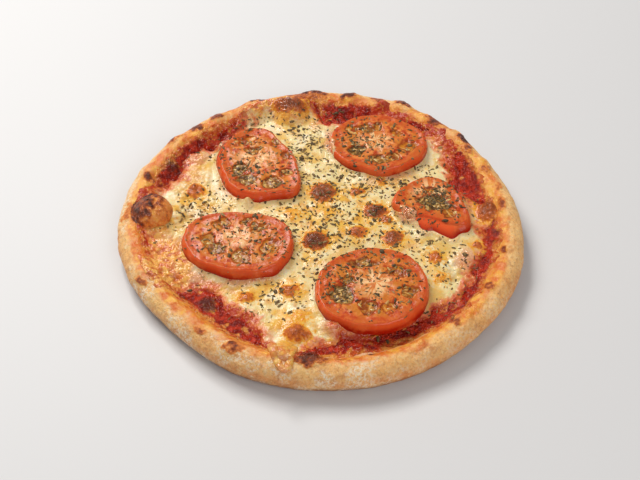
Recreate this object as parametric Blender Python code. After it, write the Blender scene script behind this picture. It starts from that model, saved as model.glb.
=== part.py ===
"""A baked mini pizza, about 200 mm across.

A thin dough base with a puffed rim carries a layer of tomato sauce, a layer of melted cheese that browned
in spots, five thick tomato slices and dried herb flakes. Metres, +Z up: the pizza stands on Z = 0 and the
origin is the middle of its box at that height. Sizes and places below are millimetres, and each mesh is
scaled to metres when it is made. Angles are degrees, counterclockwise from +X."""
import math
import random

import bmesh
import bpy
import numpy as np
from mathutils import Matrix, Vector, geometry

MM = 0.001

# Driving dimensions
SEGMENTS = 96
LAYER_GAP = 0.4
CUT_GAP = 0.35
BASE_THICKNESS = 6.0
RIM_HEIGHT = 14.6
RIM_WIDEST_AT = 7.0
RIM_ROLL = 9.0
RIM_SLOPE = 11.0
FOOT_INSET = 6.5
SAUCE_THICKNESS = 1.0
SAUCE_EDGE_THICKNESS = 0.7
CHEESE_THICKNESS = 2.7
CHEESE_EDGE_THICKNESS = 1.1
CHEESE_TAPER = 14.0
CHEESE_GRAIN = 5.4
SLICE_UNDERSIDE = 9.3
SLICE_SEGMENTS = 38
SLICE_CLEARANCE = 6.0
ROOM_IN_NET = -2.0
NET_MARGIN = 3.2
BLISTER_MARGIN = 2.2
BLISTER_RING = 0.55
FLAKES_ON_CHEESE = 72
FLAKES_ON_SLICE = 8
FLAKE_THICKNESS = 1.0
FLAKE_SPACING = 4.4
FLAKE_SPACING_ON_SLICE = 6.5
FLAKE_MARGIN = 2.6
FLAKE_SIZES_ON_CHEESE = (4.2, 2.8)
FLAKE_SIZES_ON_SLICE = (3.6, 2.6)
FLAKE_HEAPS = (
    (8, 4, 21, 21), (-8, 56, 7, 13), (-18, -48, 9, 7), (46, -14, 14, 12), (-60, 8, 7, 6),
    (30, 27, 18, 7),
)
TRIES = 1600

# Outer edge of the rim, seen from above: (angle, radius)
RIM_OUTLINE = (
    (0, 101.2), (22.5, 99.2), (45, 99.5), (67.5, 101.0), (90, 99.3), (112.5, 98.2), (135, 98.4),
    (157.5, 100.1), (180, 101.3), (202.5, 98.5), (225, 95.5), (247.5, 97.9), (270, 99.4), (292.5, 100.7),
    (315, 101.1), (337.5, 102.4),
)

# Edge of the melted cheese
CHEESE_OUTLINE = (
    (0, 80), (6, 83), (13, 74), (26, 73), (36, 80), (44, 84), (54, 81), (66, 85), (76, 77), (86, 72),
    (93, 80), (102, 86), (112, 86), (124, 80), (134, 77), (146, 79), (155, 76), (165, 83), (182, 83),
    (190, 82), (200, 82), (209, 83), (217, 70), (226, 65), (237, 69), (248, 70), (254, 78), (260, 85),
    (266, 78), (274, 71), (288, 71), (302, 73), (314, 76), (324, 79), (335, 77), (345, 76),
)

# Edge of the tomato sauce, where the bare crust begins
SAUCE_OUTLINE = (
    (0, 88), (20, 87), (40, 88), (60, 89), (80, 88), (100, 88), (120, 87), (140, 88), (160, 88),
    (180, 89), (200, 86), (212, 85), (222, 81), (236, 82), (250, 84), (262, 87), (276, 83), (292, 82),
    (304, 84), (318, 89), (332, 87), (346, 89),
)

# Soft bumps, each (x, y, radius, height)
CHEESE_BLISTERS = (
    (2, 19, 7, 1.9), (28, 6, 6, 1.7), (-2, -14, 6.5, 2.0), (36, -12, 6, 1.6), (19, -8, 5.5, 1.4),
    (-63, 21, 5.5, 1.5), (19, 20, 4.5, 1.0), (33, 0, 4, 1.0), (56, -25, 4.5, 1.2), (-14, -46, 4.5, 1.2),
    (-34, -50, 4, 1.0), (-10, 5, 6, 0.8), (-18, 80, 9, 3.2), (-8, 72, 10, 1.5), (-11, -71, 6, 2.4),
    (-15, -80, 7, 1.6), (-72, -30, 8, 1.6), (-66, 44, 8, 1.4), (62, 50, 6, 0.8), (76, 7, 6, 1.4),
    (8, -66, 6, 1.4), (-62, 9, 7, 1.0), (74, -20, 6, 1.0), (34, 80, 6, 1.2), (62, -34, 7, 0.8),
)
SAUCE_LUMPS = (
    (-77, 36, 7, 2.0), (-53, -52, 8, 2.4), (-40, -68, 7, 1.2), (-4, -83, 7, 2.0), (80, -25, 7, 1.6),
    (85, -10, 7, 1.4), (73, -38, 6, 1.2), (76, 40, 8, 1.4), (80, 22, 8, 1.4), (12, 82, 8, 1.8),
    (-58, 62, 8, 1.2), (56, 66, 6, 1.2), (60, -62, 6, 1.2), (20, -78, 7, 0.8),
)

# Toasted swellings on the rim, each (angle, distance inside the outline, radius, height)
RIM_BLISTERS = (
    (6, 6.5, 8, 1.4), (24, 6, 7, 1.2), (39, 5.6, 8, 1.9), (52, 6, 7, 1.2), (62, 5.2, 9, 2.2),
    (79, 6.4, 8, 1.5), (92, 6, 9, 1.9), (113, 5.6, 9, 2.0), (127, 6, 7, 1.4), (144, 6, 8, 1.6),
    (160, 5.6, 8, 1.5), (204, 6.5, 8, 1.3), (229, 5, 9, 1.0), (244, 6, 7, 1.2), (314, 6.2, 7, 1.1),
    (334, 6.4, 8, 1.4), (349, 6.5, 7, 1.0),
)
BUBBLE_CENTRE = (-83.0, 3.5, 10.6)
BUBBLE_RADII = (11.4, 11.0, 10.6)

# Tomato slices: name, middle, top height, then the outline of the cut face and the outline of the foot,
# each as (angle, radius) round the middle
SLICES = (
    (
        "tomato_slice_back_left", (-32.0, 40.0), 15.8,
        ((0, 19.8), (20, 18.3), (40, 17.2), (60, 18.8), (80, 23.0), (100, 23.8), (120, 23.2), (140, 21.6),
         (160, 20.4), (180, 19.9), (200, 20.2), (220, 21.8), (240, 25.0), (260, 26.4), (280, 27.0),
         (297, 28.5), (311, 31.0), (324, 27.5), (340, 22.4)),
        ((0, 20.2), (20, 18.8), (40, 17.8), (60, 19.2), (80, 23.2), (100, 24.0), (120, 23.8), (140, 23.0),
         (164, 23.0), (184, 22.2), (207, 22.0), (233, 25.3), (252, 28.8), (262, 28.4), (272, 30.2),
         (281, 28.8), (297, 29.8), (309, 32.0), (324, 28.0), (340, 22.8)),
    ),
    (
        "tomato_slice_back_right", (31.0, 52.0), 15.6,
        ((0, 25.6), (20, 25.4), (40, 23.2), (60, 22.2), (80, 22.4), (100, 22.8), (120, 23.6), (140, 24.4),
         (160, 25.4), (180, 25.4), (200, 24.6), (220, 22.8), (240, 21.4), (260, 21.4), (280, 21.4),
         (300, 21.4), (320, 22.4), (340, 24.6)),
        ((0, 26.4), (15, 26.6), (30, 24.8), (40, 23.4), (60, 22.4), (80, 22.6), (100, 23.0), (120, 23.8),
         (140, 24.6), (160, 25.8), (180, 26.0), (200, 25.0), (220, 23.0), (240, 21.8), (258, 22.2),
         (270, 23.2), (282, 22.2), (300, 21.8), (320, 22.8), (340, 25.0)),
    ),
    (
        "tomato_slice_front_left", (-40.0, -18.0), 16.2,
        ((0, 27.2), (20, 26.6), (40, 23.4), (60, 20.2), (80, 18.6), (100, 19.0), (120, 20.6), (140, 24.0),
         (160, 26.2), (180, 25.8), (200, 24.4), (220, 22.6), (240, 20.4), (260, 20.4), (280, 20.9),
         (300, 23.2), (320, 25.6), (340, 26.8)),
        ((0, 27.8), (20, 26.9), (40, 23.6), (60, 20.4), (80, 18.8), (100, 19.2), (120, 20.8), (140, 24.3),
         (160, 26.8), (180, 26.8), (200, 25.4), (220, 23.2), (240, 21.0), (260, 21.2), (280, 22.4),
         (300, 25.0), (314, 27.8), (326, 27.6), (340, 27.8)),
    ),
    (
        "tomato_slice_front_right", (24.0, -46.0), 16.0,
        ((0, 26.6), (20, 26.6), (40, 26.0), (60, 24.4), (80, 23.0), (100, 22.8), (120, 22.6), (140, 23.6),
         (160, 25.0), (180, 25.4), (200, 26.4), (220, 26.8), (240, 25.8), (260, 25.2), (280, 25.1),
         (300, 25.3), (320, 25.5), (340, 26.2)),
        ((0, 27.4), (20, 27.0), (40, 26.3), (60, 24.6), (80, 23.2), (100, 23.0), (120, 22.8), (140, 23.8),
         (160, 25.3), (180, 26.4), (200, 27.0), (220, 27.2), (240, 26.0), (260, 25.6), (280, 25.8),
         (300, 26.2), (320, 26.8), (340, 27.4)),
    ),
    (
        "tomato_slice_right", (57.0, 9.0), 15.2,
        ((0, 15.0), (20, 14.4), (40, 14.8), (60, 15.6), (80, 17.4), (100, 17.9), (120, 17.5), (140, 17.8),
         (160, 19.4), (180, 20.2), (200, 17.8), (220, 14.2), (240, 11.6), (260, 11.4), (280, 13.6),
         (300, 18.2), (315, 21.8), (328, 20.3), (342, 17.2)),
        ((0, 15.6), (20, 15.0), (40, 15.4), (60, 16.2), (80, 17.9), (100, 18.3), (120, 18.0), (140, 18.5),
         (160, 20.1), (180, 20.8), (200, 19.0), (220, 17.4), (238, 18.0), (254, 20.6), (268, 18.8),
         (279, 22.6), (290, 26.0), (300, 23.4), (315, 24.0), (328, 21.8), (342, 18.0)),
    ),
)

TURN = np.arange(SEGMENTS) * (2 * math.pi / SEGMENTS)


def clear_scene():
    """Removes whatever the new file starts with."""
    for item in list(bpy.data.objects):
        bpy.data.objects.remove(item, do_unlink=True)


def finish_of(name, colour, roughness):
    """A Principled material of one colour."""
    material = bpy.data.materials.new(name)
    material.use_nodes = True
    shader = material.node_tree.nodes["Principled BSDF"]
    shader.inputs["Base Color"].default_value = (*colour, 1.0)
    shader.inputs["Roughness"].default_value = roughness
    shader.inputs["Metallic"].default_value = 0.0
    return material


def on_curve(knots, angle):
    """Value at each angle (radians) on the smooth closed curve through the (degrees, value) knots."""
    knot_angle = np.radians([knot[0] for knot in knots])
    knot_value = np.array([knot[1] for knot in knots], float)
    position = np.concatenate([knot_angle - 2 * math.pi, knot_angle, knot_angle + 2 * math.pi])
    value = np.tile(knot_value, 3)
    slope = np.gradient(value, position)
    angle = np.asarray(angle) % (2 * math.pi)
    low = np.searchsorted(position, angle, side="right") - 1
    step = position[low + 1] - position[low]
    u = (angle - position[low]) / step
    start = (2 * u**3 - 3 * u**2 + 1) * value[low] + (u**3 - 2 * u**2 + u) * step * slope[low]
    end = (3 * u**2 - 2 * u**3) * value[low + 1] + (u**3 - u**2) * step * slope[low + 1]
    return start + end


def ripple(x, y, wavelength):
    """A gentle unevenness between -1 and 1, from three crossing waves."""
    k = 2 * math.pi / wavelength
    first = np.sin(k * (x + 0.4 * y))
    second = np.sin(1.3 * k * (0.7 * y - x) + 1.7)
    third = np.sin(0.8 * k * (y + 0.2 * x) + 4.1)
    return (first + second + third) / 3


def bumps(x, y, places):
    """Height of all the soft bumps at x, y: each falls from its height to nothing at its radius."""
    height = np.zeros(np.shape(x))
    for bump_x, bump_y, radius, top in places:
        near = np.clip(1 - ((x - bump_x) ** 2 + (y - bump_y) ** 2) / radius**2, 0, 1)
        height = height + top * near**2
    return height


def crust_top(radius, angle):
    """Height of the dough's upper face: flat in the middle, then a smooth climb to the rim's crest."""
    crest_radius = on_curve(RIM_OUTLINE, angle) - RIM_ROLL
    climb = np.clip((radius - crest_radius + RIM_SLOPE) / RIM_SLOPE, 0, 1)
    climb = climb * climb * (3 - 2 * climb)
    return BASE_THICKNESS + (crest_height(angle) - BASE_THICKNESS) * climb


def crest_height(angle):
    """Height of the rim's crest, uneven as hand-stretched dough is."""
    return RIM_HEIGHT + 0.5 * np.sin(3 * angle + 0.6) + 0.35 * np.sin(7 * angle + 2.0)


def ring(radius, height):
    """One loop of points about the vertical axis."""
    radius = radius * np.ones(SEGMENTS)
    return np.column_stack((radius * np.cos(TURN), radius * np.sin(TURN), height * np.ones(SEGMENTS)))


def xy_ring(radius):
    """Radius, x and y of a loop, for reading a height there."""
    return radius, radius * np.cos(TURN), radius * np.sin(TURN)


def add_loop(mesh, points):
    """Adds a loop's vertices to the bmesh and returns them."""
    return [mesh.verts.new(point) for point in points]


def bridge(mesh, first, second, outward):
    """Two triangles between each pair of neighbours on two loops.

    The diagonal always leaves the outer loop's point for the inner loop's next one, so that two layers
    that share their loops stay parallel."""
    count = len(first)
    for i in range(count):
        j = (i + 1) % count
        if outward:
            mesh.faces.new((first[i], first[j], second[i]))
            mesh.faces.new((first[j], second[j], second[i]))
        else:
            mesh.faces.new((first[i], first[j], second[j]))
            mesh.faces.new((first[i], second[j], second[i]))


def to_object(mesh, name, material):
    """Scales a bmesh to metres and links it as a smooth-shaded object."""
    bmesh.ops.triangulate(mesh, faces=[face for face in mesh.faces if len(face.verts) > 3])
    bmesh.ops.scale(mesh, vec=(MM, MM, MM), verts=mesh.verts)
    data = bpy.data.meshes.new(name)
    mesh.to_mesh(data)
    mesh.free()
    data.materials.append(material)
    data.shade_smooth()
    item = bpy.data.objects.new(name, data)
    bpy.context.scene.collection.objects.link(item)
    return item


def combine(item, others, operation):
    """Joins or cuts the item with all the other objects in one Boolean, and removes them."""
    group = bpy.data.collections.new(item.name + "_with")
    bpy.context.scene.collection.children.link(group)
    for other in others:
        bpy.context.scene.collection.objects.unlink(other)
        group.objects.link(other)
    modifier = item.modifiers.new("combine", "BOOLEAN")
    modifier.operand_type = "COLLECTION"
    modifier.collection = group
    modifier.operation = operation
    modifier.solver = "EXACT"
    bpy.context.view_layer.update()
    graph = bpy.context.evaluated_depsgraph_get()
    result = bpy.data.meshes.new_from_object(item.evaluated_get(graph))
    item.modifiers.remove(modifier)
    item.data = result
    for other in others:
        bpy.data.objects.remove(other, do_unlink=True)
    bpy.data.collections.remove(group)


def sharpen(item, degrees):
    """Smooth shading, with edges steeper than the angle kept crisp."""
    item.data.shade_smooth()
    item.data.set_sharp_from_angle(angle=math.radians(degrees))


def shared_radii():
    """Radii of the loops that the crust, the sauce and the cheese share, from the middle outwards."""
    outline = on_curve(RIM_OUTLINE, TURN)
    crest = outline - RIM_ROLL
    sauce = np.minimum(on_curve(SAUCE_OUTLINE, TURN), crest - 3.0)
    cheese = np.minimum(on_curve(CHEESE_OUTLINE, TURN), sauce - 2.4)
    shelf = cheese - CHEESE_TAPER * 0.45
    well = cheese - CHEESE_TAPER
    third = (sauce - cheese) / 3
    return [well, shelf, cheese, cheese + third, cheese + 2 * third, sauce], crest, outline


def bubble(grow):
    """The one large bubble that swelled out of the rim: a stretched icosphere, a little uneven."""
    mesh = bmesh.new()
    bmesh.ops.create_icosphere(mesh, subdivisions=2, radius=1.0)
    for vertex in mesh.verts:
        swell = 1 + 0.04 * float(ripple(vertex.co.x * 10, vertex.co.y * 10 + vertex.co.z * 7, 9))
        place = [BUBBLE_CENTRE[k] + vertex.co[k] * (BUBBLE_RADII[k] + grow) * swell for k in range(3)]
        vertex.co = Vector(place)
    return mesh


def rim_surface(angle, inset):
    """Point on the plain rim's rounded top, a distance inside its outline."""
    radius = float(on_curve(RIM_OUTLINE, angle)) - inset
    across = 1 - inset / RIM_ROLL
    height = RIM_WIDEST_AT + (float(crest_height(angle)) - RIM_WIDEST_AT) * math.sqrt(1 - across**2)
    return np.array((radius * math.cos(angle), radius * math.sin(angle), height))


def swell_rim(points, crest):
    """Pushes a loop of the rim outwards from the rim's core wherever a toasted swelling is near."""
    core = ring(crest, RIM_WIDEST_AT)
    away = points - core
    away = away / np.linalg.norm(away, axis=1)[:, None]
    push = np.zeros(SEGMENTS)
    for degrees, inset, size, height in RIM_BLISTERS:
        middle = rim_surface(math.radians(degrees), inset)
        near = np.clip(1 - np.sum((points - middle) ** 2, axis=1) / size**2, 0, 1)
        push = push + height * near**2
    return points + away * push[:, None]


def make_crust(material):
    """Base and rim in one skin, then the large bubble joined on."""
    shared, crest, outline = shared_radii()
    crest_z = crest_height(TURN)
    dent = 0.45 * (1 + ripple(outline * np.cos(TURN), outline * np.sin(TURN), 31))
    loops = [ring(outline - FOOT_INSET, 0.0)]
    for degrees in (25, 50, 72):
        lift = math.radians(degrees)
        radius = outline - FOOT_INSET + FOOT_INSET * math.sin(lift)
        loops.append(ring(radius, RIM_WIDEST_AT * (1 - math.cos(lift))))
    for degrees in (0, 22, 42, 60, 76, 90):
        lift = math.radians(degrees)
        radius = crest + RIM_ROLL * math.cos(lift) - dent * math.sin(2 * lift)
        height = RIM_WIDEST_AT + (crest_z - RIM_WIDEST_AT) * math.sin(lift)
        loops.append(swell_rim(ring(radius, height), crest) if degrees > 30 else ring(radius, height))
    for radius in reversed(shared):
        loops.append(ring(radius, crust_top(radius, TURN)))
    mesh = bmesh.new()
    rows = [add_loop(mesh, loop) for loop in loops]
    mesh.faces.new(list(reversed(rows[0])))
    for lower, upper in zip(rows[:-1], rows[1:]):
        bridge(mesh, lower, upper, outward=False)
    mesh.faces.new(rows[-1])
    crust = to_object(mesh, "crust", material)
    combine(crust, [to_object(bubble(0.0), "bubble", material)], "UNION")
    sharpen(crust, 50)
    return crust


def layer(name, material, lower, upper, middle_top=None):
    """A closed layer between two stacks of loops that both run outwards from the middle."""
    mesh = bmesh.new()
    low = [add_loop(mesh, loop) for loop in lower]
    high = [add_loop(mesh, loop) for loop in upper]
    mesh.faces.new(list(reversed(low[0])))
    for inner, outer in zip(low[:-1], low[1:]):
        bridge(mesh, inner, outer, outward=True)
    bridge(mesh, low[-1], high[-1], outward=False)
    for outer, inner in zip(reversed(high[1:]), reversed(high[:-1])):
        bridge(mesh, outer, inner, outward=False)
    if middle_top:
        middle_top(mesh, high[0])
    else:
        mesh.faces.new(high[0])
    return to_object(mesh, name, material)


def sauce_levels(shared):
    """Lower and upper height of the sauce on each shared loop."""
    levels = []
    for index, radius in enumerate(shared):
        radius, x, y = xy_ring(radius)
        low = crust_top(radius, TURN) + LAYER_GAP
        depth = SAUCE_EDGE_THICKNESS if index == len(shared) - 1 else SAUCE_THICKNESS
        if 2 < index < len(shared) - 1:
            depth = depth + bumps(x, y, SAUCE_LUMPS) + 0.35 * (1 + ripple(x, y, 17))
        levels.append((low, low + depth))
    return levels


def make_sauce(material):
    """Thin sauce on the base, climbing the rim's inner slope, with lumps where it shows."""
    shared = shared_radii()[0]
    levels = sauce_levels(shared)
    lower = [ring(radius, level[0]) for radius, level in zip(shared, levels)]
    upper = [ring(radius, level[1]) for radius, level in zip(shared, levels)]
    return layer("tomato_sauce", material, lower, upper)


def cheese_height(x, y, foot, depth):
    """Upper face of the cheese over its foot: its depth, the browned blisters and a slight unevenness."""
    return foot + depth + bumps(x, y, CHEESE_BLISTERS) + 0.22 * ripple(x, y, 23)


def slice_radii(row):
    """Radius of a slice's cut face and of its foot at every angle of its loops."""
    angle = np.arange(SLICE_SEGMENTS) * (2 * math.pi / SLICE_SEGMENTS)
    return angle, on_curve(row[3], angle), on_curve(row[4], angle)


def slice_outline(row, grow):
    """Outline of everything a slice covers seen from above, grown by a margin."""
    angle, face, foot = slice_radii(row)
    radius = np.maximum(face, foot) + grow
    return np.column_stack((row[1][0] + radius * np.cos(angle), row[1][1] + radius * np.sin(angle)))


def inside(outline, x, y):
    """Whether the point lies within the closed outline, by counting edges crossed."""
    ahead = np.roll(outline, -1, axis=0)
    straddles = (outline[:, 1] > y) != (ahead[:, 1] > y)
    rise = np.where(ahead[:, 1] == outline[:, 1], 1.0, ahead[:, 1] - outline[:, 1])
    cross = outline[:, 0] + (y - outline[:, 1]) / rise * (ahead[:, 0] - outline[:, 0])
    return bool(np.count_nonzero(straddles & (cross > x)) % 2)


def cheese_middle(foot):
    """Returns the function that fills the cheese's inner loop with an even net of triangles.

    The net's points are a hexagonal lattice, with a point on top of every blister and six round it."""
    outlines = [slice_outline(row, ROOM_IN_NET) for row in SLICES]

    def wanted(x, y, edge):
        if math.hypot(x, y) > edge - NET_MARGIN:
            return False
        if any(math.hypot(x - b[0], y - b[1]) < 0.95 * b[2] for b in CHEESE_BLISTERS):
            return False
        return not any(inside(outline, x, y) for outline in outlines)

    def fill(mesh, loop):
        border = [Vector(vertex.co.xy) for vertex in loop]
        border_radius = np.array([point.length for point in border])

        def edge_at(x, y):
            return float(np.interp(math.atan2(y, x) % (2 * math.pi), TURN, border_radius, period=2 * math.pi))

        points = list(border)
        row_step = CHEESE_GRAIN * math.sqrt(3) / 2
        rows = int(RIM_OUTLINE[0][1] / row_step)
        columns = int(RIM_OUTLINE[0][1] / CHEESE_GRAIN) + 1
        for row in range(-rows, rows + 1):
            for column in range(-columns, columns + 1):
                x = CHEESE_GRAIN * (column + 0.5 * (row % 2))
                y = row_step * row
                if wanted(x, y, edge_at(x, y)):
                    points.append(Vector((x, y)))
        for bump_x, bump_y, radius, _ in CHEESE_BLISTERS:
            spots = [(bump_x, bump_y)]
            for corner in range(6):
                angle = corner * math.pi / 3
                reach = BLISTER_RING * radius
                spots.append((bump_x + reach * math.cos(angle), bump_y + reach * math.sin(angle)))
            points.extend(Vector(s) for s in spots if math.hypot(*s) < edge_at(*s) - BLISTER_MARGIN)
        net = geometry.delaunay_2d_cdt(points, [], [list(range(len(border)))], 1, 0.001)
        vertices = []
        for index, place in enumerate(net[0]):
            if index < len(border):
                vertices.append(loop[index])
                continue
            height = float(cheese_height(place.x, place.y, foot, CHEESE_THICKNESS))
            vertices.append(mesh.verts.new((place.x, place.y, height)))
        for face in net[2]:
            mesh.faces.new([vertices[index] for index in face])

    return fill


def make_flake(place, size, lean, turn, thickness):
    """One dried herb flake: a six-sided leaf scrap, lying tilted with its lower half sunk in."""
    mesh = bmesh.new()
    outline = [(-0.5, 0.0), (-0.22, -0.24), (0.25, -0.2), (0.5, 0.03), (0.2, 0.22), (-0.28, 0.18)]
    low = [mesh.verts.new((x * size, y * size, -0.6 * thickness)) for x, y in outline]
    high = [mesh.verts.new((x * size * 0.9, y * size * 0.9, 0.4 * thickness)) for x, y in outline]
    mesh.faces.new(list(reversed(low)))
    mesh.faces.new(high)
    for i in range(len(outline)):
        j = (i + 1) % len(outline)
        mesh.faces.new((low[i], low[j], high[j], high[i]))
    pose = Matrix.Translation(place) @ lean.to_matrix().to_4x4() @ Matrix.Rotation(turn, 4, "Z")
    bmesh.ops.transform(mesh, matrix=pose, verts=mesh.verts)
    return mesh


def settle(candidates, count, spacing, allowed):
    """Takes candidates in turn while they are allowed and far enough from those already taken."""
    taken = []
    for x, y in candidates:
        if len(taken) == count:
            break
        if allowed(x, y) and all(math.hypot(x - a, y - b) > spacing for a, b in taken):
            taken.append((x, y))
    return taken


def scatter_flakes(name, places, height_at, sizes, material, dice):
    """Flakes at the places, the largest first, each tilted with the surface under it."""
    biggest, smallest = sizes
    flakes = []
    for index, (x, y) in enumerate(places):
        size = biggest + (smallest - biggest) * index / max(1, len(places) - 1)
        slope_x = (height_at(x + 1, y) - height_at(x - 1, y)) / 2
        slope_y = (height_at(x, y + 1) - height_at(x, y - 1)) / 2
        normal = Vector((-slope_x + dice.uniform(-0.1, 0.1), -slope_y + dice.uniform(-0.1, 0.1), 1.0))
        lean = Vector((0, 0, 1)).rotation_difference(normal.normalized())
        turn = dice.uniform(0, 2 * math.pi)
        place = Vector((x, y, height_at(x, y) + 0.12 * FLAKE_THICKNESS))
        flakes.append(to_object(make_flake(place, size, lean, turn, FLAKE_THICKNESS), name, material))
    return flakes


def cheese_flakes(material, foot):
    """Herb flakes on the cheese: most of them in the middle and between the two slices at the back."""
    dice = random.Random(11)
    outlines = [slice_outline(row, FLAKE_MARGIN) for row in SLICES]
    reach = on_curve(CHEESE_OUTLINE, TURN) - CHEESE_TAPER - FLAKE_MARGIN
    candidates = []
    for _ in range(TRIES):
        x, y, spread_x, spread_y = dice.choice(FLAKE_HEAPS + FLAKE_HEAPS[:1] + FLAKE_HEAPS[:2])
        candidates.append((dice.gauss(x, spread_x), dice.gauss(y, spread_y)))

    def allowed(x, y):
        edge = float(np.interp(math.atan2(y, x) % (2 * math.pi), TURN, reach, period=2 * math.pi))
        return math.hypot(x, y) < edge and not any(inside(outline, x, y) for outline in outlines)

    def height_at(x, y):
        return float(cheese_height(x, y, foot, CHEESE_THICKNESS))

    places = settle(candidates, FLAKES_ON_CHEESE, FLAKE_SPACING, allowed)
    return scatter_flakes("cheese_flake", places, height_at, FLAKE_SIZES_ON_CHEESE, material, dice)


def slice_prism(row, material):
    """A straight-sided cutter a little larger than the slice, from just under it to well above."""
    outline = slice_outline(row, CUT_GAP)
    mesh = bmesh.new()
    low = add_loop(mesh, [(x, y, SLICE_UNDERSIDE - LAYER_GAP) for x, y in outline])
    high = add_loop(mesh, [(x, y, row[2] + SLICE_CLEARANCE) for x, y in outline])
    mesh.faces.new(list(reversed(low)))
    bridge(mesh, low, high, outward=False)
    mesh.faces.new(high)
    return to_object(mesh, "slice_room", material)


def make_cheese(material):
    """Cheese over the sauce: a net in the middle, shared loops at the edge, herb flakes joined on."""
    shared = shared_radii()[0]
    sauce = sauce_levels(shared)
    depths = (CHEESE_THICKNESS, 0.85 * CHEESE_THICKNESS, CHEESE_EDGE_THICKNESS)
    lower = []
    upper = []
    for radius, level, depth in zip(shared, sauce, depths):
        radius, x, y = xy_ring(radius)
        foot = level[1] + LAYER_GAP
        lower.append(ring(radius, foot))
        upper.append(ring(radius, cheese_height(x, y, foot, depth)))
    foot = BASE_THICKNESS + SAUCE_THICKNESS + 2 * LAYER_GAP
    cheese = layer("melted_cheese", material, lower, upper, cheese_middle(foot))
    combine(cheese, cheese_flakes(material, foot), "UNION")
    return cheese


def slice_top(share, angle, top, phase):
    """Height of a slice's cut face: firm wall and core, with the seed pockets sunk between them."""
    pocket = np.clip(1 - ((share - 0.56) / 0.26) ** 2, 0, 1) * (0.5 + 0.5 * np.cos(5 * angle + phase))
    return top - 0.2 - 0.9 * pocket


def make_slice(row, index, material):
    """A tomato slice: sloping skin edge, cut face with sunken seed pockets, a few herb flakes on it."""
    name, middle, top = row[:3]
    angle, face, foot = slice_radii(row)
    depth = top - SLICE_UNDERSIDE
    phase = 1.3 * index

    def loop(radius, height):
        x = middle[0] + radius * np.cos(angle)
        y = middle[1] + radius * np.sin(angle)
        return np.column_stack((x, y, height * np.ones(SLICE_SEGMENTS)))

    loops = [loop(0.96 * foot, SLICE_UNDERSIDE), loop(foot, SLICE_UNDERSIDE + 0.22 * depth)]
    loops += [loop(0.45 * foot + 0.55 * face, top - 0.36 * depth), loop(face, top - 0.9)]
    loops += [loop(0.965 * face, top - 0.4)]
    loops += [loop(share * face, slice_top(share, angle, top, phase)) for share in (0.86, 0.58, 0.3)]
    mesh = bmesh.new()
    rows = [add_loop(mesh, points) for points in loops]
    mesh.faces.new(list(reversed(rows[0])))
    for lower, upper in zip(rows[:-1], rows[1:]):
        bridge(mesh, lower, upper, outward=False)
    peak = mesh.verts.new((middle[0], middle[1], top - 0.2))
    for i in range(SLICE_SEGMENTS):
        mesh.faces.new((rows[-1][i], rows[-1][(i + 1) % SLICE_SEGMENTS], peak))
    piece = to_object(mesh, name, material)

    dice = random.Random(40 + index)
    candidates = []
    for _ in range(200):
        spot = dice.randrange(SLICE_SEGMENTS)
        radius = 0.8 * math.sqrt(dice.random()) * float(face[spot])
        x = middle[0] + radius * math.cos(angle[spot])
        y = middle[1] + radius * math.sin(angle[spot])
        candidates.append((x, y))

    def height_at(x, y):
        around = math.atan2(y - middle[1], x - middle[0])
        share = math.hypot(x - middle[0], y - middle[1]) / float(on_curve(row[3], around))
        return float(slice_top(share, around, top, phase))

    places = settle(candidates, FLAKES_ON_SLICE, FLAKE_SPACING_ON_SLICE, lambda x, y: True)
    flakes = scatter_flakes("slice_flake", places, height_at, FLAKE_SIZES_ON_SLICE, material, dice)
    combine(piece, flakes, "UNION")
    sharpen(piece, 50)
    return piece


def make_pizza():
    """Builds every piece and cuts the room that the slices and the bubble need in the layers."""
    clear_scene()
    dough = finish_of("baked_dough", (0.72, 0.44, 0.19), 0.7)
    sauce = finish_of("cooked_sauce", (0.42, 0.035, 0.015), 0.4)
    cheese = finish_of("melted_cheese", (0.85, 0.68, 0.36), 0.4)
    tomato = finish_of("tomato_flesh", (0.68, 0.13, 0.05), 0.35)
    make_crust(dough)
    layers = [make_sauce(sauce), make_cheese(cheese)]
    for item in layers:
        cutters = [slice_prism(row, tomato) for row in SLICES]
        cutters.append(to_object(bubble(CUT_GAP), "bubble_room", dough))
        combine(item, cutters, "DIFFERENCE")
        sharpen(item, 50)
    for index, row in enumerate(SLICES):
        make_slice(row, index, tomato)


make_pizza()
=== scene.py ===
# %% [markdown]
# A mini pizza, fresh from the oven: dough with a puffed rim, red sauce, melted cheese that browned in
# spots, five thick tomato slices and a scatter of dried herbs. Every visible skin here is a surface worked
# out with numpy, in millimetres, and scaled to metres when it becomes a mesh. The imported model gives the
# frame: each large skin takes the place of one of its solids.

# %% The frame
import math

import bpy
import numpy as np
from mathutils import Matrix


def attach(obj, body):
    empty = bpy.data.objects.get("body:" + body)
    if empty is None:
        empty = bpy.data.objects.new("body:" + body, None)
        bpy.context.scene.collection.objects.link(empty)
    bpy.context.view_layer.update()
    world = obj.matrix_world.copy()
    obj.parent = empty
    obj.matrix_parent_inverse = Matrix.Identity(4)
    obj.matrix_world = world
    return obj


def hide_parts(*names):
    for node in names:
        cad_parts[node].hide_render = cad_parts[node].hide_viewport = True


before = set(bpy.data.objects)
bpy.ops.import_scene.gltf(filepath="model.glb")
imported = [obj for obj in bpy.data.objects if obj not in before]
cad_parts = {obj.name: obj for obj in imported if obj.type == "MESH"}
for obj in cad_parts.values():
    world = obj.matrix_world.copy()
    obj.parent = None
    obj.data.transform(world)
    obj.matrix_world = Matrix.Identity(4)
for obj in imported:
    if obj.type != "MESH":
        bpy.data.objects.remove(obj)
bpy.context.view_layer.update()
MM = 0.001
print("solids in the frame:", sorted(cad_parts))

# %% [markdown]
# The picture was taken with a short telephoto lens, looking down at about 47 degrees. The camera's place
# follows from that pitch, the distance and the point it looks at, which lies a little under the pizza.

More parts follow.
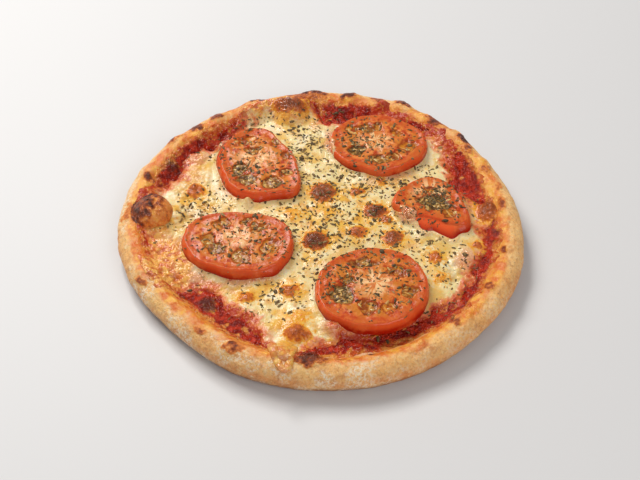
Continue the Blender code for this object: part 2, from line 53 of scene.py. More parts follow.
# %% Camera
LENS = 60.0
PITCH = 47.26
DISTANCE = 540.73
LOOKED_AT = np.array((0.31, -0.53, -4.0))
line_of_sight = np.array((0.0, math.cos(math.radians(PITCH)), -math.sin(math.radians(PITCH))))
camera_place = LOOKED_AT - line_of_sight * DISTANCE
camera_data = bpy.data.cameras.new("camera")
camera_data.lens = LENS
camera_data.sensor_width = 36.0
camera_data.clip_start = 0.01
camera_data.clip_end = 20.0
camera = bpy.data.objects.new("camera", camera_data)
camera.location = camera_place * MM
camera.rotation_euler = (math.radians(90.0 - PITCH), 0.0, 0.0)
bpy.context.scene.collection.objects.link(camera)
bpy.context.scene.camera = camera
print("camera at", np.round(camera_place, 1), "mm")

# %% [markdown]
# The light is that of a window-sized softbox behind the pizza on the left, with a weak fill from the
# front, so that the shadow falls to the lower right and every wet spot carries a small highlight. Each
# row of the list is a light: its place in metres, its width and height, its power and its colour.

# %% Light and floor
LIGHTS = (
    ("window_light", (-0.55, 0.65, 0.95), 0.7, 0.5, 11.8, (1.0, 0.985, 0.955)),
    ("front_fill", (0.6, -0.9, 0.8), 0.9, 0.7, 5.4, (1.0, 0.965, 0.93)),
    ("sparkle", (-0.3, 0.8, 0.85), 0.18, 0.18, 1.9, (1.0, 0.99, 0.97)),
)
SKY_COLOUR = (0.93, 0.96, 1.0, 1.0)
SKY_STRENGTH = 0.3
FLOOR_HALF = 1.5


def soft_box(name, place, width, height, power, colour):
    """A rectangular light at the place, in metres, turned to face the pizza's middle."""
    x, y, z = place
    data = bpy.data.lights.new(name, "AREA")
    data.shape = "RECTANGLE"
    data.size = width
    data.size_y = height
    data.energy = power
    data.color = colour
    lamp = bpy.data.objects.new(name, data)
    lamp.location = place
    lamp.rotation_euler = (math.atan2(math.hypot(x, y), z), 0.0, math.atan2(x, -y))
    bpy.context.scene.collection.objects.link(lamp)


def srgb(red, green, blue):
    """A screen colour from 0 to 255 as the linear colour that shaders use."""
    share = np.array((red, green, blue)) / 255.0
    linear = np.where(share <= 0.04045, share / 12.92, ((share + 0.055) / 1.055) ** 2.4)
    return (float(linear[0]), float(linear[1]), float(linear[2]), 1.0)


def new_material(name):
    """A node material, its node tree and its Principled shader."""
    material = bpy.data.materials.new(name)
    material.use_nodes = True
    tree = material.node_tree
    print("new finish:", name)
    return material, tree, tree.nodes["Principled BSDF"]


for light in LIGHTS:
    soft_box(*light)
world = bpy.data.worlds.new("studio")
world.use_nodes = True
sky = world.node_tree.nodes["Background"]
sky.inputs["Color"].default_value = SKY_COLOUR
sky.inputs["Strength"].default_value = SKY_STRENGTH
bpy.context.scene.world = world
bpy.context.scene.view_settings.view_transform = "Standard"
bpy.context.scene.view_settings.look = "None"

floor_mesh = bpy.data.meshes.new("floor")
corners = [(-1, -1, 0), (1, -1, 0), (1, 1, 0), (-1, 1, 0)]
floor_mesh.from_pydata([(x * FLOOR_HALF, y * FLOOR_HALF, z) for x, y, z in corners], [], [(0, 1, 2, 3)])
floor = bpy.data.objects.new("floor", floor_mesh)
bpy.context.scene.collection.objects.link(floor)
floor_finish, _, floor_shader = new_material("pale_floor")
floor_shader.inputs["Base Color"].default_value = srgb(222, 220, 219)
floor_shader.inputs["Roughness"].default_value = 0.55
floor_mesh.materials.append(floor_finish)

# %% [markdown]
# Nothing on a pizza is smooth or regular, so every skin needs the same helper: a field of random hills.
# Each corner of a grid of cubes gets a random slope, and inside a cube the eight slopes are blended.
# Adding the same field at half the size and half the height, a few times over, gives natural roughness.

# %% Random hills
def hills(points, size, seed):
    """Smooth random height in about -1..1: the blend of eight random slopes round each point.

    The large odd factors and the shifts only shuffle the bits of a corner's whole-number place.
    """
    place = np.asarray(points, float) / size + 31.7 * seed
    cell = np.floor(place).astype(np.int64)
    inside = place - cell
    blend = inside**3 * (inside * (inside * 6 - 15) + 10)
    total = np.zeros(len(place))
    for corner in range(8):
        step = np.array((corner & 1, corner >> 1 & 1, corner >> 2 & 1))
        key = (cell + step) @ np.array((73856093, 19349663, 83492791)) + seed * 2654435
        key = (key ^ key >> 13) * 1274126177 & 0x7FFFFFFF
        key = (key ^ key >> 11) * 668265263 & 0x7FFFFFFF
        slope = np.stack([(key >> shift & 1023) / 511.5 - 1 for shift in (0, 10, 20)], axis=1)
        weight = np.prod(np.where(step == 1, blend, 1 - blend), axis=1)
        total += weight * np.sum(slope * (inside - step), axis=1)
    return total * 1.6


def clouds(points, size, octaves, seed, fade=0.5):
    """Hills on hills: each next layer has half the size and the given share of the height."""
    total = np.zeros(len(points))
    height = 1.0
    for octave in range(octaves):
        total += height * hills(points, size / 2**octave, seed + octave)
        height *= fade
    return total


def wrinkles(points, size, octaves, seed):
    """Sharp-crested folds from 0 to 1: one less the size of the clouds' height."""
    return 1 - np.clip(np.abs(clouds(points, size, octaves, seed)) * 2.2, 0, 1)


def flat(x, y):
    """Points of a plane, for reading a field that depends on x and y alone."""
    return np.stack([np.ravel(x), np.ravel(y), np.zeros(np.size(x))], axis=1)


def cloud_map(x, y, size, octaves, seed):
    """Clouds over the plane, in the same rows and columns as x and y."""
    return clouds(flat(x, y), size, octaves, seed).reshape(np.shape(x))


def smooth(value, low, high):
    """0 below low, 1 above high, an S-curve between."""
    share = np.clip((value - low) / (high - low), 0, 1)
    return share * share * (3 - 2 * share)


test_field = clouds(flat(np.linspace(0, 99, 500), np.zeros(500)), 9, 3, 5)
print("clouds run from", round(float(test_field.min()), 2), "to", round(float(test_field.max()), 2))

# %% [markdown]
# The driving shapes are the same as in the solids: the rim's outline, the cheese's ragged edge and the
# edge of the sauce, each a smooth closed curve through a few radii read at given angles. Patches of
# anything on them are soft ovals, and a list of ovals is either summed or its strongest taken. Places were
# read on a level plane 11 mm up, so a higher spot has to slide along the line of sight.

# %% Outlines
RIM_OUTLINE = (
    (0, 101.2), (22.5, 99.2), (45, 99.5), (67.5, 101.0), (90, 99.3), (112.5, 98.2), (135, 98.4),
    (157.5, 100.1), (180, 101.3), (202.5, 98.5), (225, 95.5), (247.5, 97.9), (270, 99.4), (292.5, 100.7),
    (315, 101.1), (337.5, 102.4),
)
CHEESE_OUTLINE = (
    (0, 80), (6, 83), (13, 74), (26, 73), (36, 80), (44, 84), (54, 81), (66, 85), (76, 77), (86, 72),
    (93, 80), (102, 86), (112, 86), (124, 80), (134, 77), (146, 79), (155, 76), (165, 83), (182, 83),
    (190, 82), (200, 82), (209, 83), (217, 70), (226, 65), (237, 69), (248, 70), (254, 78), (260, 85),
    (266, 78), (274, 71), (288, 71), (302, 73), (314, 77), (324, 80), (335, 80), (345, 80),
)
SAUCE_OUTLINE = (
    (0, 88), (20, 87), (40, 88), (60, 89), (80, 88), (100, 88), (120, 87), (140, 88), (160, 88), (180, 89),
    (200, 86), (212, 85), (222, 81), (236, 82), (250, 84), (262, 87), (276, 83), (292, 82), (304, 84),
    (318, 89), (332, 87), (346, 89),
)
RIM_ROLL = 9.0
RIM_SLOPE = 11.0
RIM_HEIGHT = 14.6
RIM_WIDEST_AT = 7.0
FOOT_INSET = 6.5
BASE_THICKNESS = 6.0
READING_HEIGHT = 11.0


def on_curve(knots, angle):
    """Cubic curve through (degrees, value) knots: each span blends its two ends and their slopes."""
    knot_angle = np.radians([knot[0] for knot in knots])
    knot_value = np.array([knot[1] for knot in knots], float)
    position = np.concatenate([knot_angle - 2 * math.pi, knot_angle, knot_angle + 2 * math.pi])
    value = np.tile(knot_value, 3)
    slope = np.gradient(value, position)
    angle = np.asarray(angle) % (2 * math.pi)
    low = np.searchsorted(position, angle, side="right") - 1
    step = position[low + 1] - position[low]
    u = (angle - position[low]) / step
    start = (2 * u**3 - 3 * u**2 + 1) * value[low] + (u**3 - 2 * u**2 + u) * step * slope[low]
    end = (3 * u**2 - 2 * u**3) * value[low + 1] + (u**3 - u**2) * step * slope[low + 1]
    return start + end


def seen(x, y, z):
    """Where a spot read on the level plane at 11 mm really lies if its height is z: along the sight line."""
    reach = (z - camera_place[2]) / (READING_HEIGHT - camera_place[2])
    return camera_place[0] + (x - camera_place[0]) * reach, camera_place[1] + (y - camera_place[1]) * reach


def near(x, y, spot_x, spot_y, half_x, half_y, turn=0.0):
    """1 at a spot's middle, falling smoothly to 0 at its oval edge, which may be turned by some degrees."""
    lean = math.radians(turn)
    across = ((x - spot_x) * math.cos(lean) + (y - spot_y) * math.sin(lean)) / half_x
    along = ((y - spot_y) * math.cos(lean) - (x - spot_x) * math.sin(lean)) / half_y
    return np.clip(1 - across**2 - along**2, 0, 1) ** 2


def spot_sum(x, y, spots):
    """The sum of soft ovals, each as high as its last number."""
    total = np.zeros(np.shape(x))
    for spot_x, spot_y, half_x, half_y, turn, amount in spots:
        total += amount * near(x, y, spot_x, spot_y, half_x, half_y, turn)
    return total


def strongest_spot(x, y, spots):
    """The strongest of several flat-topped ovals at each point, each as strong as its last number."""
    strongest = np.zeros(np.shape(x))
    for spot_x, spot_y, half_x, half_y, turn, amount in spots:
        spot = near(x, y, spot_x, spot_y, half_x, half_y, turn)
        strongest = np.maximum(strongest, amount * np.sqrt(spot))
    return strongest


print("rim radius at the front:", round(float(on_curve(RIM_OUTLINE, math.radians(270))), 1), "mm")

# %% [markdown]
# The dough's top is flat in the middle and climbs to the rim's crest. One bubble swelled out of the rim on
# the left, as big as a cherry, and smaller swellings toasted dark all round. A bubble is joined to the dough
# with a soft maximum, which keeps the higher of two surfaces and rounds the corner between them.

# %% Dough heights
BUBBLE = (-83.0, 3.0, 10.4)
BUBBLE_RADIUS = 10.4
RIM_BLISTERS = (
    (6, 6.5, 8, 1.4), (24, 6, 7, 1.2), (39, 5.6, 8, 1.9), (52, 6, 7, 1.2), (62, 5.2, 9, 2.2),
    (79, 6.4, 8, 1.5), (92, 6, 9, 1.9), (113, 5.6, 9, 2.0), (127, 6, 7, 1.4), (144, 6, 8, 1.6),
    (160, 5.6, 8, 1.5), (204, 6.5, 8, 1.3), (229, 5, 9, 1.0), (244, 6, 7, 1.2), (314, 6.2, 7, 1.1),
    (334, 6.4, 8, 1.4), (349, 6.5, 7, 1.0), (267.5, 13.0, 8, 2.0), (285, 14.0, 6, 1.2), (300, 10.5, 4, 1.4),
)


def crest_height(angle):
    """Height of the rim's crest: the rim's height with two gentle waves round it."""
    return RIM_HEIGHT + 0.5 * np.sin(3 * angle + 0.6) + 0.35 * np.sin(7 * angle + 2.0)


def soft_max(first, second, corner):
    """The higher of two heights, with their meeting corner rounded over the given width."""
    mix = np.clip(0.5 + 0.5 * (first - second) / corner, 0, 1)
    return second * (1 - mix) + first * mix + corner * mix * (1 - mix)


def dome(x, y):
    """Height of the bubble's slightly lumpy ball over x, y, and far below the dough outside it."""
    away = np.hypot(x - BUBBLE[0], y - BUBBLE[1])
    lumps = 0.4 * cloud_map(x, y, 9, 3, 61)
    rise = np.sqrt(np.clip(BUBBLE_RADIUS**2 - away**2, 0, None))
    outside = BUBBLE[2] - 4 * (away - BUBBLE_RADIUS)
    return np.where(away < BUBBLE_RADIUS, BUBBLE[2] + rise * (0.96 + 0.03 * lumps), outside)


def plain_dough(radius, angle):
    """Dough height from base to crest: the base's thickness, then an S-shaped climb to the crest."""
    crest = on_curve(RIM_OUTLINE, angle) - RIM_ROLL
    climb = smooth(radius, crest - RIM_SLOPE, crest)
    return BASE_THICKNESS + (crest_height(angle) - BASE_THICKNESS) * climb


def dough_height(x, y):
    """Dough height at x, y inside the crest, with the bubble joined on."""
    radius = np.hypot(x, y)
    angle = np.arctan2(y, x)
    return soft_max(plain_dough(radius, angle), dome(x, y), 1.2)


print("bubble top:", round(float(dough_height(np.array(BUBBLE[0]), np.array(BUBBLE[1]))), 1), "mm")

# %% [markdown]
# A tomato slice has the outline of its cut face and a slightly wider one at its foot. On the cut face the
# firm wall and core stand proud, and the seed pockets between them have sunk. One function gives the
# height of a slice anywhere, so that herbs and cheese can find it later. Each pocket is an oval, with a
# last number that tells golden jelly from an olive clump of seeds and herbs.

# %% Slice heights
SLICE_UNDERSIDE = 9.3
LIP = 1.5
POCKET_GROWTH = 1.4
TOP_GAP = 0.2
SKIN_GAP = 0.1
FACE_SINK = 0.35
POCKET_SINK = 0.9
SLICES = {
    "tomato_slice_back_left": dict(
        middle=(-32.0, 40.0), top=15.8, core=(-33.0, 41.0),
        face=((0, 19.8), (20, 18.3), (40, 17.2), (60, 18.8), (80, 23.0), (100, 23.8), (120, 23.2),
              (140, 21.6), (160, 20.4), (180, 19.9), (200, 20.2), (220, 21.8), (240, 25.0), (260, 26.4),
              (280, 27.0), (297, 28.5), (311, 31.0), (324, 27.5), (340, 22.4)),
        foot=((0, 20.2), (20, 18.8), (40, 17.8), (60, 19.2), (80, 23.2), (100, 24.0), (120, 23.8),
              (140, 23.0), (164, 23.0), (184, 22.2), (207, 22.0), (233, 25.3), (252, 28.8), (262, 28.4),
              (272, 30.2), (281, 28.8), (297, 29.8), (309, 32.0), (324, 28.0), (340, 22.8)),
        pockets=((-41.2, 31.5, 3.4, 5.6, 10, 0.8), (-36.4, 24, 5.4, 4.6, 0, 0.9),
                 (-23.7, 22, 4.6, 5.6, -10, 0.7), (-22.5, 53.2, 4.2, 3.6, 20, 0.2),
                 (-17.5, 42, 2.8, 4, 0, 0.2), (-17, 30, 3.6, 3.2, 0, 0.5),
                 (-38.5, 52.5, 6.4, 3.4, 28, 0.0), (-34, 45.5, 4, 3, 0, 0.4)),
    ),
    "tomato_slice_back_right": dict(
        middle=(31.0, 52.0), top=15.6, core=(30.0, 54.0),
        face=((0, 25.6), (20, 25.4), (40, 23.2), (60, 22.2), (80, 22.4), (100, 22.8), (120, 23.6),
              (140, 24.4), (160, 25.4), (180, 25.4), (200, 24.6), (220, 22.8), (240, 21.4), (260, 21.4),
              (280, 21.4), (300, 21.4), (320, 22.4), (340, 24.6)),
        foot=((0, 26.4), (15, 26.6), (30, 24.8), (40, 23.4), (60, 22.4), (80, 22.6), (100, 23.0),
              (120, 23.8), (140, 24.6), (160, 25.8), (180, 26.0), (200, 25.0), (220, 23.0), (240, 21.8),
              (258, 22.2), (270, 23.2), (282, 22.2), (300, 21.8), (320, 22.8), (340, 25.0)),
        pockets=((20.2, 46, 5, 4.2, 10, 1.0), (30.3, 39.5, 5, 3.8, 0, 0.7),
                 (46.3, 49.4, 5.2, 4.6, 10, 0.1), (37.5, 40.5, 4, 3.4, 10, 0.4),
                 (41, 59, 3.8, 2.4, -20, 0.2), (18, 62, 4.6, 3.6, 30, 0.0), (25, 63.5, 4, 3.8, 0, 0.5),
                 (31, 64, 3, 3, 0, 0.3)),
    ),
    "tomato_slice_front_left": dict(
        middle=(-40.0, -18.0), top=16.2, core=(-38.5, -16.0),
        face=((0, 27.2), (20, 26.6), (40, 23.4), (60, 20.2), (80, 18.6), (100, 19.0), (120, 20.6),
              (140, 24.0), (160, 26.2), (180, 25.8), (200, 24.4), (220, 22.6), (240, 20.4), (260, 20.4),
              (280, 20.9), (300, 23.2), (320, 25.6), (340, 26.8)),
        foot=((0, 27.8), (20, 26.9), (40, 23.6), (60, 20.4), (80, 18.8), (100, 19.2), (120, 20.8),
              (140, 24.3), (160, 26.8), (180, 26.8), (200, 25.4), (220, 23.2), (240, 21.0), (260, 21.2),
              (280, 22.4), (300, 25.0), (314, 27.8), (326, 27.6), (340, 27.8)),
        pockets=((-52.7, -18.6, 4.4, 5.4, 10, 0.4), (-49.8, -24.4, 4.8, 3.8, -25, 0.6),
                 (-37.8, -28.6, 5, 4.8, 0, 0.4), (-24.4, -23, 4.2, 6, -30, 0.2),
                 (-29.4, -10, 3.8, 3.2, 0, 0.3), (-48.3, -7.5, 4.4, 3.8, 20, 0.2),
                 (-36, -6, 3.6, 2.6, 0, 0.2)),
    ),
    "tomato_slice_front_right": dict(
        middle=(24.0, -46.0), top=16.0, core=(26.2, -45.0),
        face=((0, 26.6), (20, 26.6), (40, 26.0), (60, 24.4), (80, 23.0), (100, 22.8), (120, 22.6),
              (140, 23.6), (160, 25.0), (180, 25.4), (200, 26.4), (220, 26.8), (240, 25.8), (260, 25.2),
              (280, 25.1), (300, 25.3), (320, 25.5), (340, 26.2)),
        foot=((0, 27.4), (20, 27.0), (40, 26.3), (60, 24.6), (80, 23.2), (100, 23.0), (120, 22.8),
              (140, 23.8), (160, 25.3), (180, 26.4), (200, 27.0), (220, 27.2), (240, 26.0), (260, 25.6),
              (280, 25.8), (300, 26.2), (320, 26.8), (340, 27.4)),
        pockets=((20.7, -33.5, 7, 3.2, 5, 0.6), (35.8, -38.2, 4.8, 3.2, -35, 0.2),
                 (10.8, -52.4, 5.6, 7, 30, 1.0), (41.2, -50.8, 3.8, 3.8, 0, 0.5),
                 (22.5, -60, 4, 4.2, 10, 0.3), (31.6, -60.4, 4.2, 4.2, 0, 0.0), (14, -44, 3.4, 3, 0, 0.5)),
    ),
    "tomato_slice_right": dict(
        middle=(57.0, 9.0), top=15.2, core=(56.0, 16.0),
        face=((0, 15.0), (20, 14.4), (40, 14.8), (60, 15.6), (80, 17.4), (100, 17.9), (120, 17.5),
              (140, 17.8), (160, 19.4), (180, 20.2), (200, 17.8), (220, 14.2), (240, 11.6), (260, 11.4),
              (280, 13.6), (300, 18.2), (315, 21.8), (328, 20.3), (342, 17.2)),
        foot=((0, 15.6), (20, 15.0), (40, 15.4), (60, 16.2), (80, 17.9), (100, 18.3), (120, 18.0),
              (140, 18.5), (160, 20.1), (180, 20.8), (200, 19.0), (220, 17.4), (238, 18.0), (254, 20.6),
              (268, 18.8), (279, 22.6), (290, 26.0), (300, 23.4), (315, 24.0), (328, 21.8), (342, 18.0)),
        pockets=((57.3, 8, 9.4, 5.4, -15, 1.0), (64.7, 0.4, 3.6, 3.6, 0, 0.3), (56, 17, 4, 3, 0, 0.1)),
    ),
}
DIRECTIONS = np.radians(np.arange(720) / 2)
for row in SLICES.values():
    face = on_curve(row["face"], DIRECTIONS)
    edge_x = row["middle"][0] + face * np.cos(DIRECTIONS)
    edge_y = row["middle"][1] + face * np.sin(DIRECTIONS)
    foot = on_curve(row["foot"], DIRECTIONS)
    row["face_radii"] = face - SKIN_GAP + 0.45 * cloud_map(edge_x, edge_y, 5, 3, 23)
    row["foot_radii"] = foot - SKIN_GAP + 0.3 * cloud_map(edge_x, edge_y, 7, 2, 25)


def radii(row, angle):
    """Radius of a slice's face and of its foot in each direction."""
    full = 2 * math.pi
    face = np.interp(angle % full, DIRECTIONS, row["face_radii"], period=full)
    foot = np.interp(angle % full, DIRECTIONS, row["foot_radii"], period=full)
    return face, foot


def around(row, x, y):
    """Distance from the slice's middle, with the radius of its face and of its foot in that direction."""
    off_x = x - row["middle"][0]
    off_y = y - row["middle"][1]
    face, foot = radii(row, np.arctan2(off_y, off_x))
    return np.hypot(off_x, off_y), face, foot


def pocket_depth(row, x, y):
    """How much of a seed pocket lies at x, y, from 0 to 1, with a wavering edge; and how olive it is."""
    wavy_x = x + 2.0 * cloud_map(x, y, 6, 4, 21)
    wavy_y = y + 2.0 * cloud_map(x, y, 6, 4, 27)
    depth = np.zeros(np.shape(x))
    olive = np.zeros(np.shape(x))
    for spot_x, spot_y, half_x, half_y, turn, dark in row["pockets"]:
        spot = near(wavy_x, wavy_y, spot_x, spot_y, POCKET_GROWTH * half_x, POCKET_GROWTH * half_y, turn)
        olive = np.where(spot > depth, dark, olive)
        depth = np.maximum(depth, spot)
    return smooth(depth, 0.05, 0.6), olive


def face_height(row, x, y):
    """Height of the cut face: its top, less the pockets and the rounded lip, plus fine fibres."""
    distance, face, _ = around(row, x, y)
    pocket, olive = pocket_depth(row, x, y)
    points = flat(x, y)
    grain = (0.42 * clouds(points, 9, 3, 33) + 0.06 * wrinkles(points, 2.6, 2, 35)).reshape(np.shape(x))
    beyond = np.clip(1 - (face - distance) / LIP, 0, 1)
    lip = LIP * (1 - np.sqrt(1 - np.minimum(beyond, 0.995) ** 2))
    calm = smooth(face - distance, 0.5, 4.0)
    height = row["top"] - TOP_GAP - POCKET_SINK * pocket * calm - lip
    height = height + grain * (0.15 + 0.85 * calm) - FACE_SINK * calm
    return height, pocket * calm, olive


for name, row in SLICES.items():
    height, _, _ = face_height(row, np.array([row["middle"][0]]), np.array([row["middle"][1]]))
    width = 2 * float(row["face_radii"].max())
    print(name, "face height", round(float(height[0]), 1), "mm, widest", round(width, 1), "mm")

# %% [markdown]
# Sauce lies on the dough, and cheese on the sauce. Both are height fields: where a layer is missing, its
# surface dips just under the layer below, so that the visible border is the line where two uneven
# surfaces meet, as ragged as in a real bake. Coverage is counted in millimetres inside a layer's edge.
# The rows of the lists are ovals: middle, half sizes, turn in degrees, and height or strength.

# %% Sauce heights
LAYER_FOOT = 4.6
LAYER_LOWEST = LAYER_FOOT + 0.4
SAUCE_THICKNESS = 1.15
SAUCE_TAPER = 1.6
SAUCE_LUMPS = (
    (-77, 36, 7, 6, 0, 2.0), (-53, -51, 8, 9, 20, 2.2), (-40, -66, 9, 6, -30, 1.4), (-4, -82, 8, 6, 0, 2.2),
    (82, -25, 7, 6, 0, 1.6), (86, -10, 5, 7, 0, 1.5), (72, -42, 6, 9, -30, 1.4), (76, 42, 6, 12, 20, 1.3),
    (80, 22, 7, 10, 0, 1.4), (12, 86, 9, 8, 0, 1.6), (-60, 66, 12, 6, 40, 1.2), (57, 68, 9, 6, -45, 1.2),
    (61, -60, 7, 6, 0, 1.4), (20, -78, 10, 5, 0, 1.0), (-86, 24, 5, 9, -10, 0.8),
    (-85, -20, 4, 10, 15, 0.8), (-36, 84, 8, 6, 0, 1.5), (24, 82, 5, 6, 0, 1.8),
)
BURNT_SAUCE = (
    (-76, 37, 6, 6, 0, 0.8), (-52, -53, 6, 6, 20, 1.0), (-40, -62, 9, 4, -30, 0.45),
    (-4, -85, 6, 5, 0, 0.95), (86, -10, 4, 5, 0, 0.5), (62, -64, 4, 4, 0, 0.7), (22, -82, 4, 4, 0, 0.8),
    (53, -52, 4, 4, 0, 0.8), (9, -75, 3, 3, 0, 0.6), (-40, -80, 6, 3, 0, 0.7), (80, 36, 3, 6, 0, 0.4),
    (84, 22, 3, 5, 0, 0.4),
)


def layer_depth(inside, thickness, taper, dive, deepest):
    """Height of a layer over what it lies on: it swells inside its edge and dives outside it."""
    swell = thickness * (1 - np.exp(-np.abs(inside) / taper))
    return np.where(inside > 0, swell, np.maximum(dive * inside, -deepest))


def sauce_height(x, y):
    """Dough height plus a thin coat of sauce with lumps and folds, and how far inside its edge it is."""
    radius = np.hypot(x, y)
    angle = np.arctan2(y, x)
    points = flat(x, y)
    inside = on_curve(SAUCE_OUTLINE, angle) + 2.2 * cloud_map(x, y, 9, 4, 3) - radius
    inside = np.minimum(inside, on_curve(RIM_OUTLINE, angle) - RIM_ROLL - 1.5 - radius)
    folds = 0.9 * clouds(points, 8, 4, 8) + 0.5 * wrinkles(points, 5.5, 3, 14)
    folds = folds + 0.4 * clouds(points, 2.6, 2, 18) - 0.3
    present = smooth(inside, -0.5, 3.0)
    rough = folds.reshape(np.shape(x)) * (0.35 + 0.65 * present)
    height = plain_dough(radius, angle) + layer_depth(inside, SAUCE_THICKNESS, SAUCE_TAPER, 0.5, 2.2)
    height = height + present * spot_sum(x, y, SAUCE_LUMPS) + rough * present
    return np.maximum(height, LAYER_LOWEST), inside


test_top, _ = sauce_height(np.array([82.0]), np.array([-25.0]))
print("sauce top at a lump on the right:", np.round(test_top, 1), "mm")

# %% [markdown]
# The cheese is thickest in the middle, thins towards its edge and clings to the sides of the slices. Where
# it browned, a blister stands up. Two kinds of patch change its coverage: extra cheese, such as the run
# over the front of the rim, and windows where sauce shows. Veils are places where it lies over a slice,
# and in the shredded places the strands kept their shape. A blister's row ends with height and brownness.

# %% Cheese heights
CHEESE_BLISTERS = (
    (2, 19, 7, 8, 0, 1.9, 0.9), (28, 6, 6.5, 5, 0, 1.7, 0.95), (-2, -14, 6.5, 6.5, 0, 2.0, 1.0),
    (36, -12, 6, 5, 20, 1.6, 0.8), (19, -8, 5.5, 4.5, 0, 1.4, 0.62), (-63, 21, 5, 6, 0, 1.5, 0.6),
    (19, 20, 5, 3, 0, 1.0, 0.6), (33, 0, 3.5, 3.5, 0, 1.0, 0.65), (56, -25, 4, 4.5, 0, 1.2, 0.6),
    (-14, -46, 5, 4, 0, 1.2, 0.6), (-34, -50, 4.5, 3.5, 0, 1.0, 0.5), (-16, 82, 11, 6, 0, 1.6, 0.78),
    (-10, -71, 7, 6, 0, 3.4, 0.62), (84, 7, 7, 9, 0, 2.6, 0.75), (58, -38, 5, 4, 0, 0.8, 0.3),
    (-13, 4, 8, 5, 0, 0.6, 0.22), (4, 6, 7, 4, 0, 0.5, 0.2), (-10, -62, 8, 5, 0, 0.8, 0.25),
    (77, -17, 2.5, 2.5, 0, 0.6, 0.6), (32, 27, 3, 3, 0, 0.5, 0.45),
)
CHEESE_MOUNDS = (
    (-15, 80, 13, 11, 0, 6.2), (-66, 44, 10, 8, 40, 1.2), (-72, 26, 10, 8, 0, 0.9), (62, 50, 6, 14, 0, 0.8),
    (70, -20, 9, 12, 0, 1.0), (-72, -30, 11, 12, 0, 1.6), (8, -67, 8, 6, 0, 1.4), (-22, -68, 6, 6, 0, 1.2),
    (34, 84, 8, 4, 10, 1.6), (-16, -82, 6, 7, 0, 1.6), (14, 88, 4, 7, 0, 1.6), (20, 83, 5, 5, 0, 1.4),
    (44, 0, 9, 5, -42, 3.4), (-36, 11, 3, 4, 0, 3.0), (3.5, 52, 3.5, 12, 0, 3.2),
    (7, -69, 9, 4.5, -25, 2.6), (-52, 54, 3.5, 7, -30, 3.0), (-68, -16, 4, 9, 0, 1.6),
    (-58, 34, 3, 14, 0, 1.4), (73, 8, 4, 9, 0, 2.0), (-71, 3, 6, 10, 0, 2.0), (-79, -8, 9, 5.5, 0, 1.8),
)
EXTRA_CHEESE = (
    (34, 84, 9, 4, 10, 5.0), (14, 90, 3.5, 7, 0, 6.0), (20, 84, 4, 5, 0, 4.0), (-16, -82, 8, 11, 0, 9.0),
    (6, -72, 6, 6, 0, 4.0), (-24, -73, 4, 5, 0, 5.0), (-82, -38, 6, 9, 30, 4.0), (84, 4, 6, 10, 0, 6.0),
    (-75, -12, 8, 6, 0, 3.0), (-38, 84, 7, 4, 30, 3.0), (66, 62, 4, 4, 0, 3.0), (-20, 90, 12, 5, 0, 3.0),
    (-65, -58, 4, 6, 40, 3.0), (30, -72, 10, 3, 0, 1.5), (-64, 47, 9, 6, 40, 6.0),
    (-36, 79, 12, 6, 22, 7.0), (-76, 44, 4, 4, 0, 4.0), (-84, -30, 6, 12, 20, 4.0),
    (-74, -50, 8, 8, 45, 6.0), (14, -76, 9, 4, 0, 3.5), (70, 48, 4, 10, 0, 5.0), (-54, 68, 5, 5, 35, 2.0),
    (62, -44, 7, 7, 0, 5.0), (78, -16, 6, 7, 0, 4.0), (70, -24, 8, 10, 0, 5.0), (74, -35, 5, 5, 0, 3.0),
    (26, -77, 16, 5, 0, 5.0), (-30, 86, 12, 5, 10, 5.0), (-84, 8, 4, 12, 0, 3.0),
)
SAUCE_WINDOWS = (
    (-85, -20, 4, 11, 15, 5.0), (-48, 72, 5, 5, 0, 4.0), (-57, 55, 5, 4, 0, 4.0), (75, -33, 5, 4, 0, 5.0),
    (82, -25, 6, 6, 0, 5.0), (18, -78, 12, 5, 0, 4.0), (54, -56, 5, 5, 0, 5.0), (-66, 51, 5, 3, 35, 4.0),
    (70, 27, 5, 7, 0, 6.0), (4, 76, 4, 6, 0, 4.0), (70, -47, 4, 7, -30, 4.0), (-52, -50, 9, 8, 20, 5.0),
)
SHREDDED = (
    (-73, -34, 18, 30, 10, 1), (-66, 16, 14, 26, 0, 1), (10, -70, 20, 12, -10, 1), (66, -38, 12, 18, 0, 1),
    (-34, 80, 20, 10, 20, 1),
)
VEILS = ((6.5, 50, 3, 10, 0), (44, 2, 8, 3.6, -42), (-50, 1, 3, 2.5, 0))
FILM_WIDTH = 3.5
CHEESE_THICKNESS = 3.1
CHEESE_TAPER = 8.0
CHEESE_BED = 1.4
HALO = 4.5
SIDE_TOP_DROP = 1.6


def side_power(face, foot):
    """Shape of a slice's side from foot to face: nearly straight, or a hanging tongue where it is wide."""
    return 0.75 - 0.35 * smooth(foot - face, 2.0, 6.0)


def over_slices(x, y):
    """Height of the highest slice at x, y, or 0 where there is none, and the gap to the nearest slice."""
    ground = np.zeros(np.shape(x))
    gap = np.full(np.shape(x), 99.0)
    for row in SLICES.values():
        distance, face, foot = around(row, x, y)
        close = distance < np.maximum(face, foot)
        if np.any(close):
            top, _, _ = face_height(row, x[close], y[close])
            slope = np.clip((distance - face) / np.maximum(foot - face, 0.1), 0, 1)[close]
            climb = 1 - slope ** (1 / side_power(face, foot)[close])
            side = SLICE_UNDERSIDE + (row["top"] - SIDE_TOP_DROP - SLICE_UNDERSIDE) * climb
            ground[close] = np.maximum(ground[close], np.where((distance < face)[close], top, side))
        gap = np.minimum(gap, distance - np.maximum(face, foot))
    return ground, gap


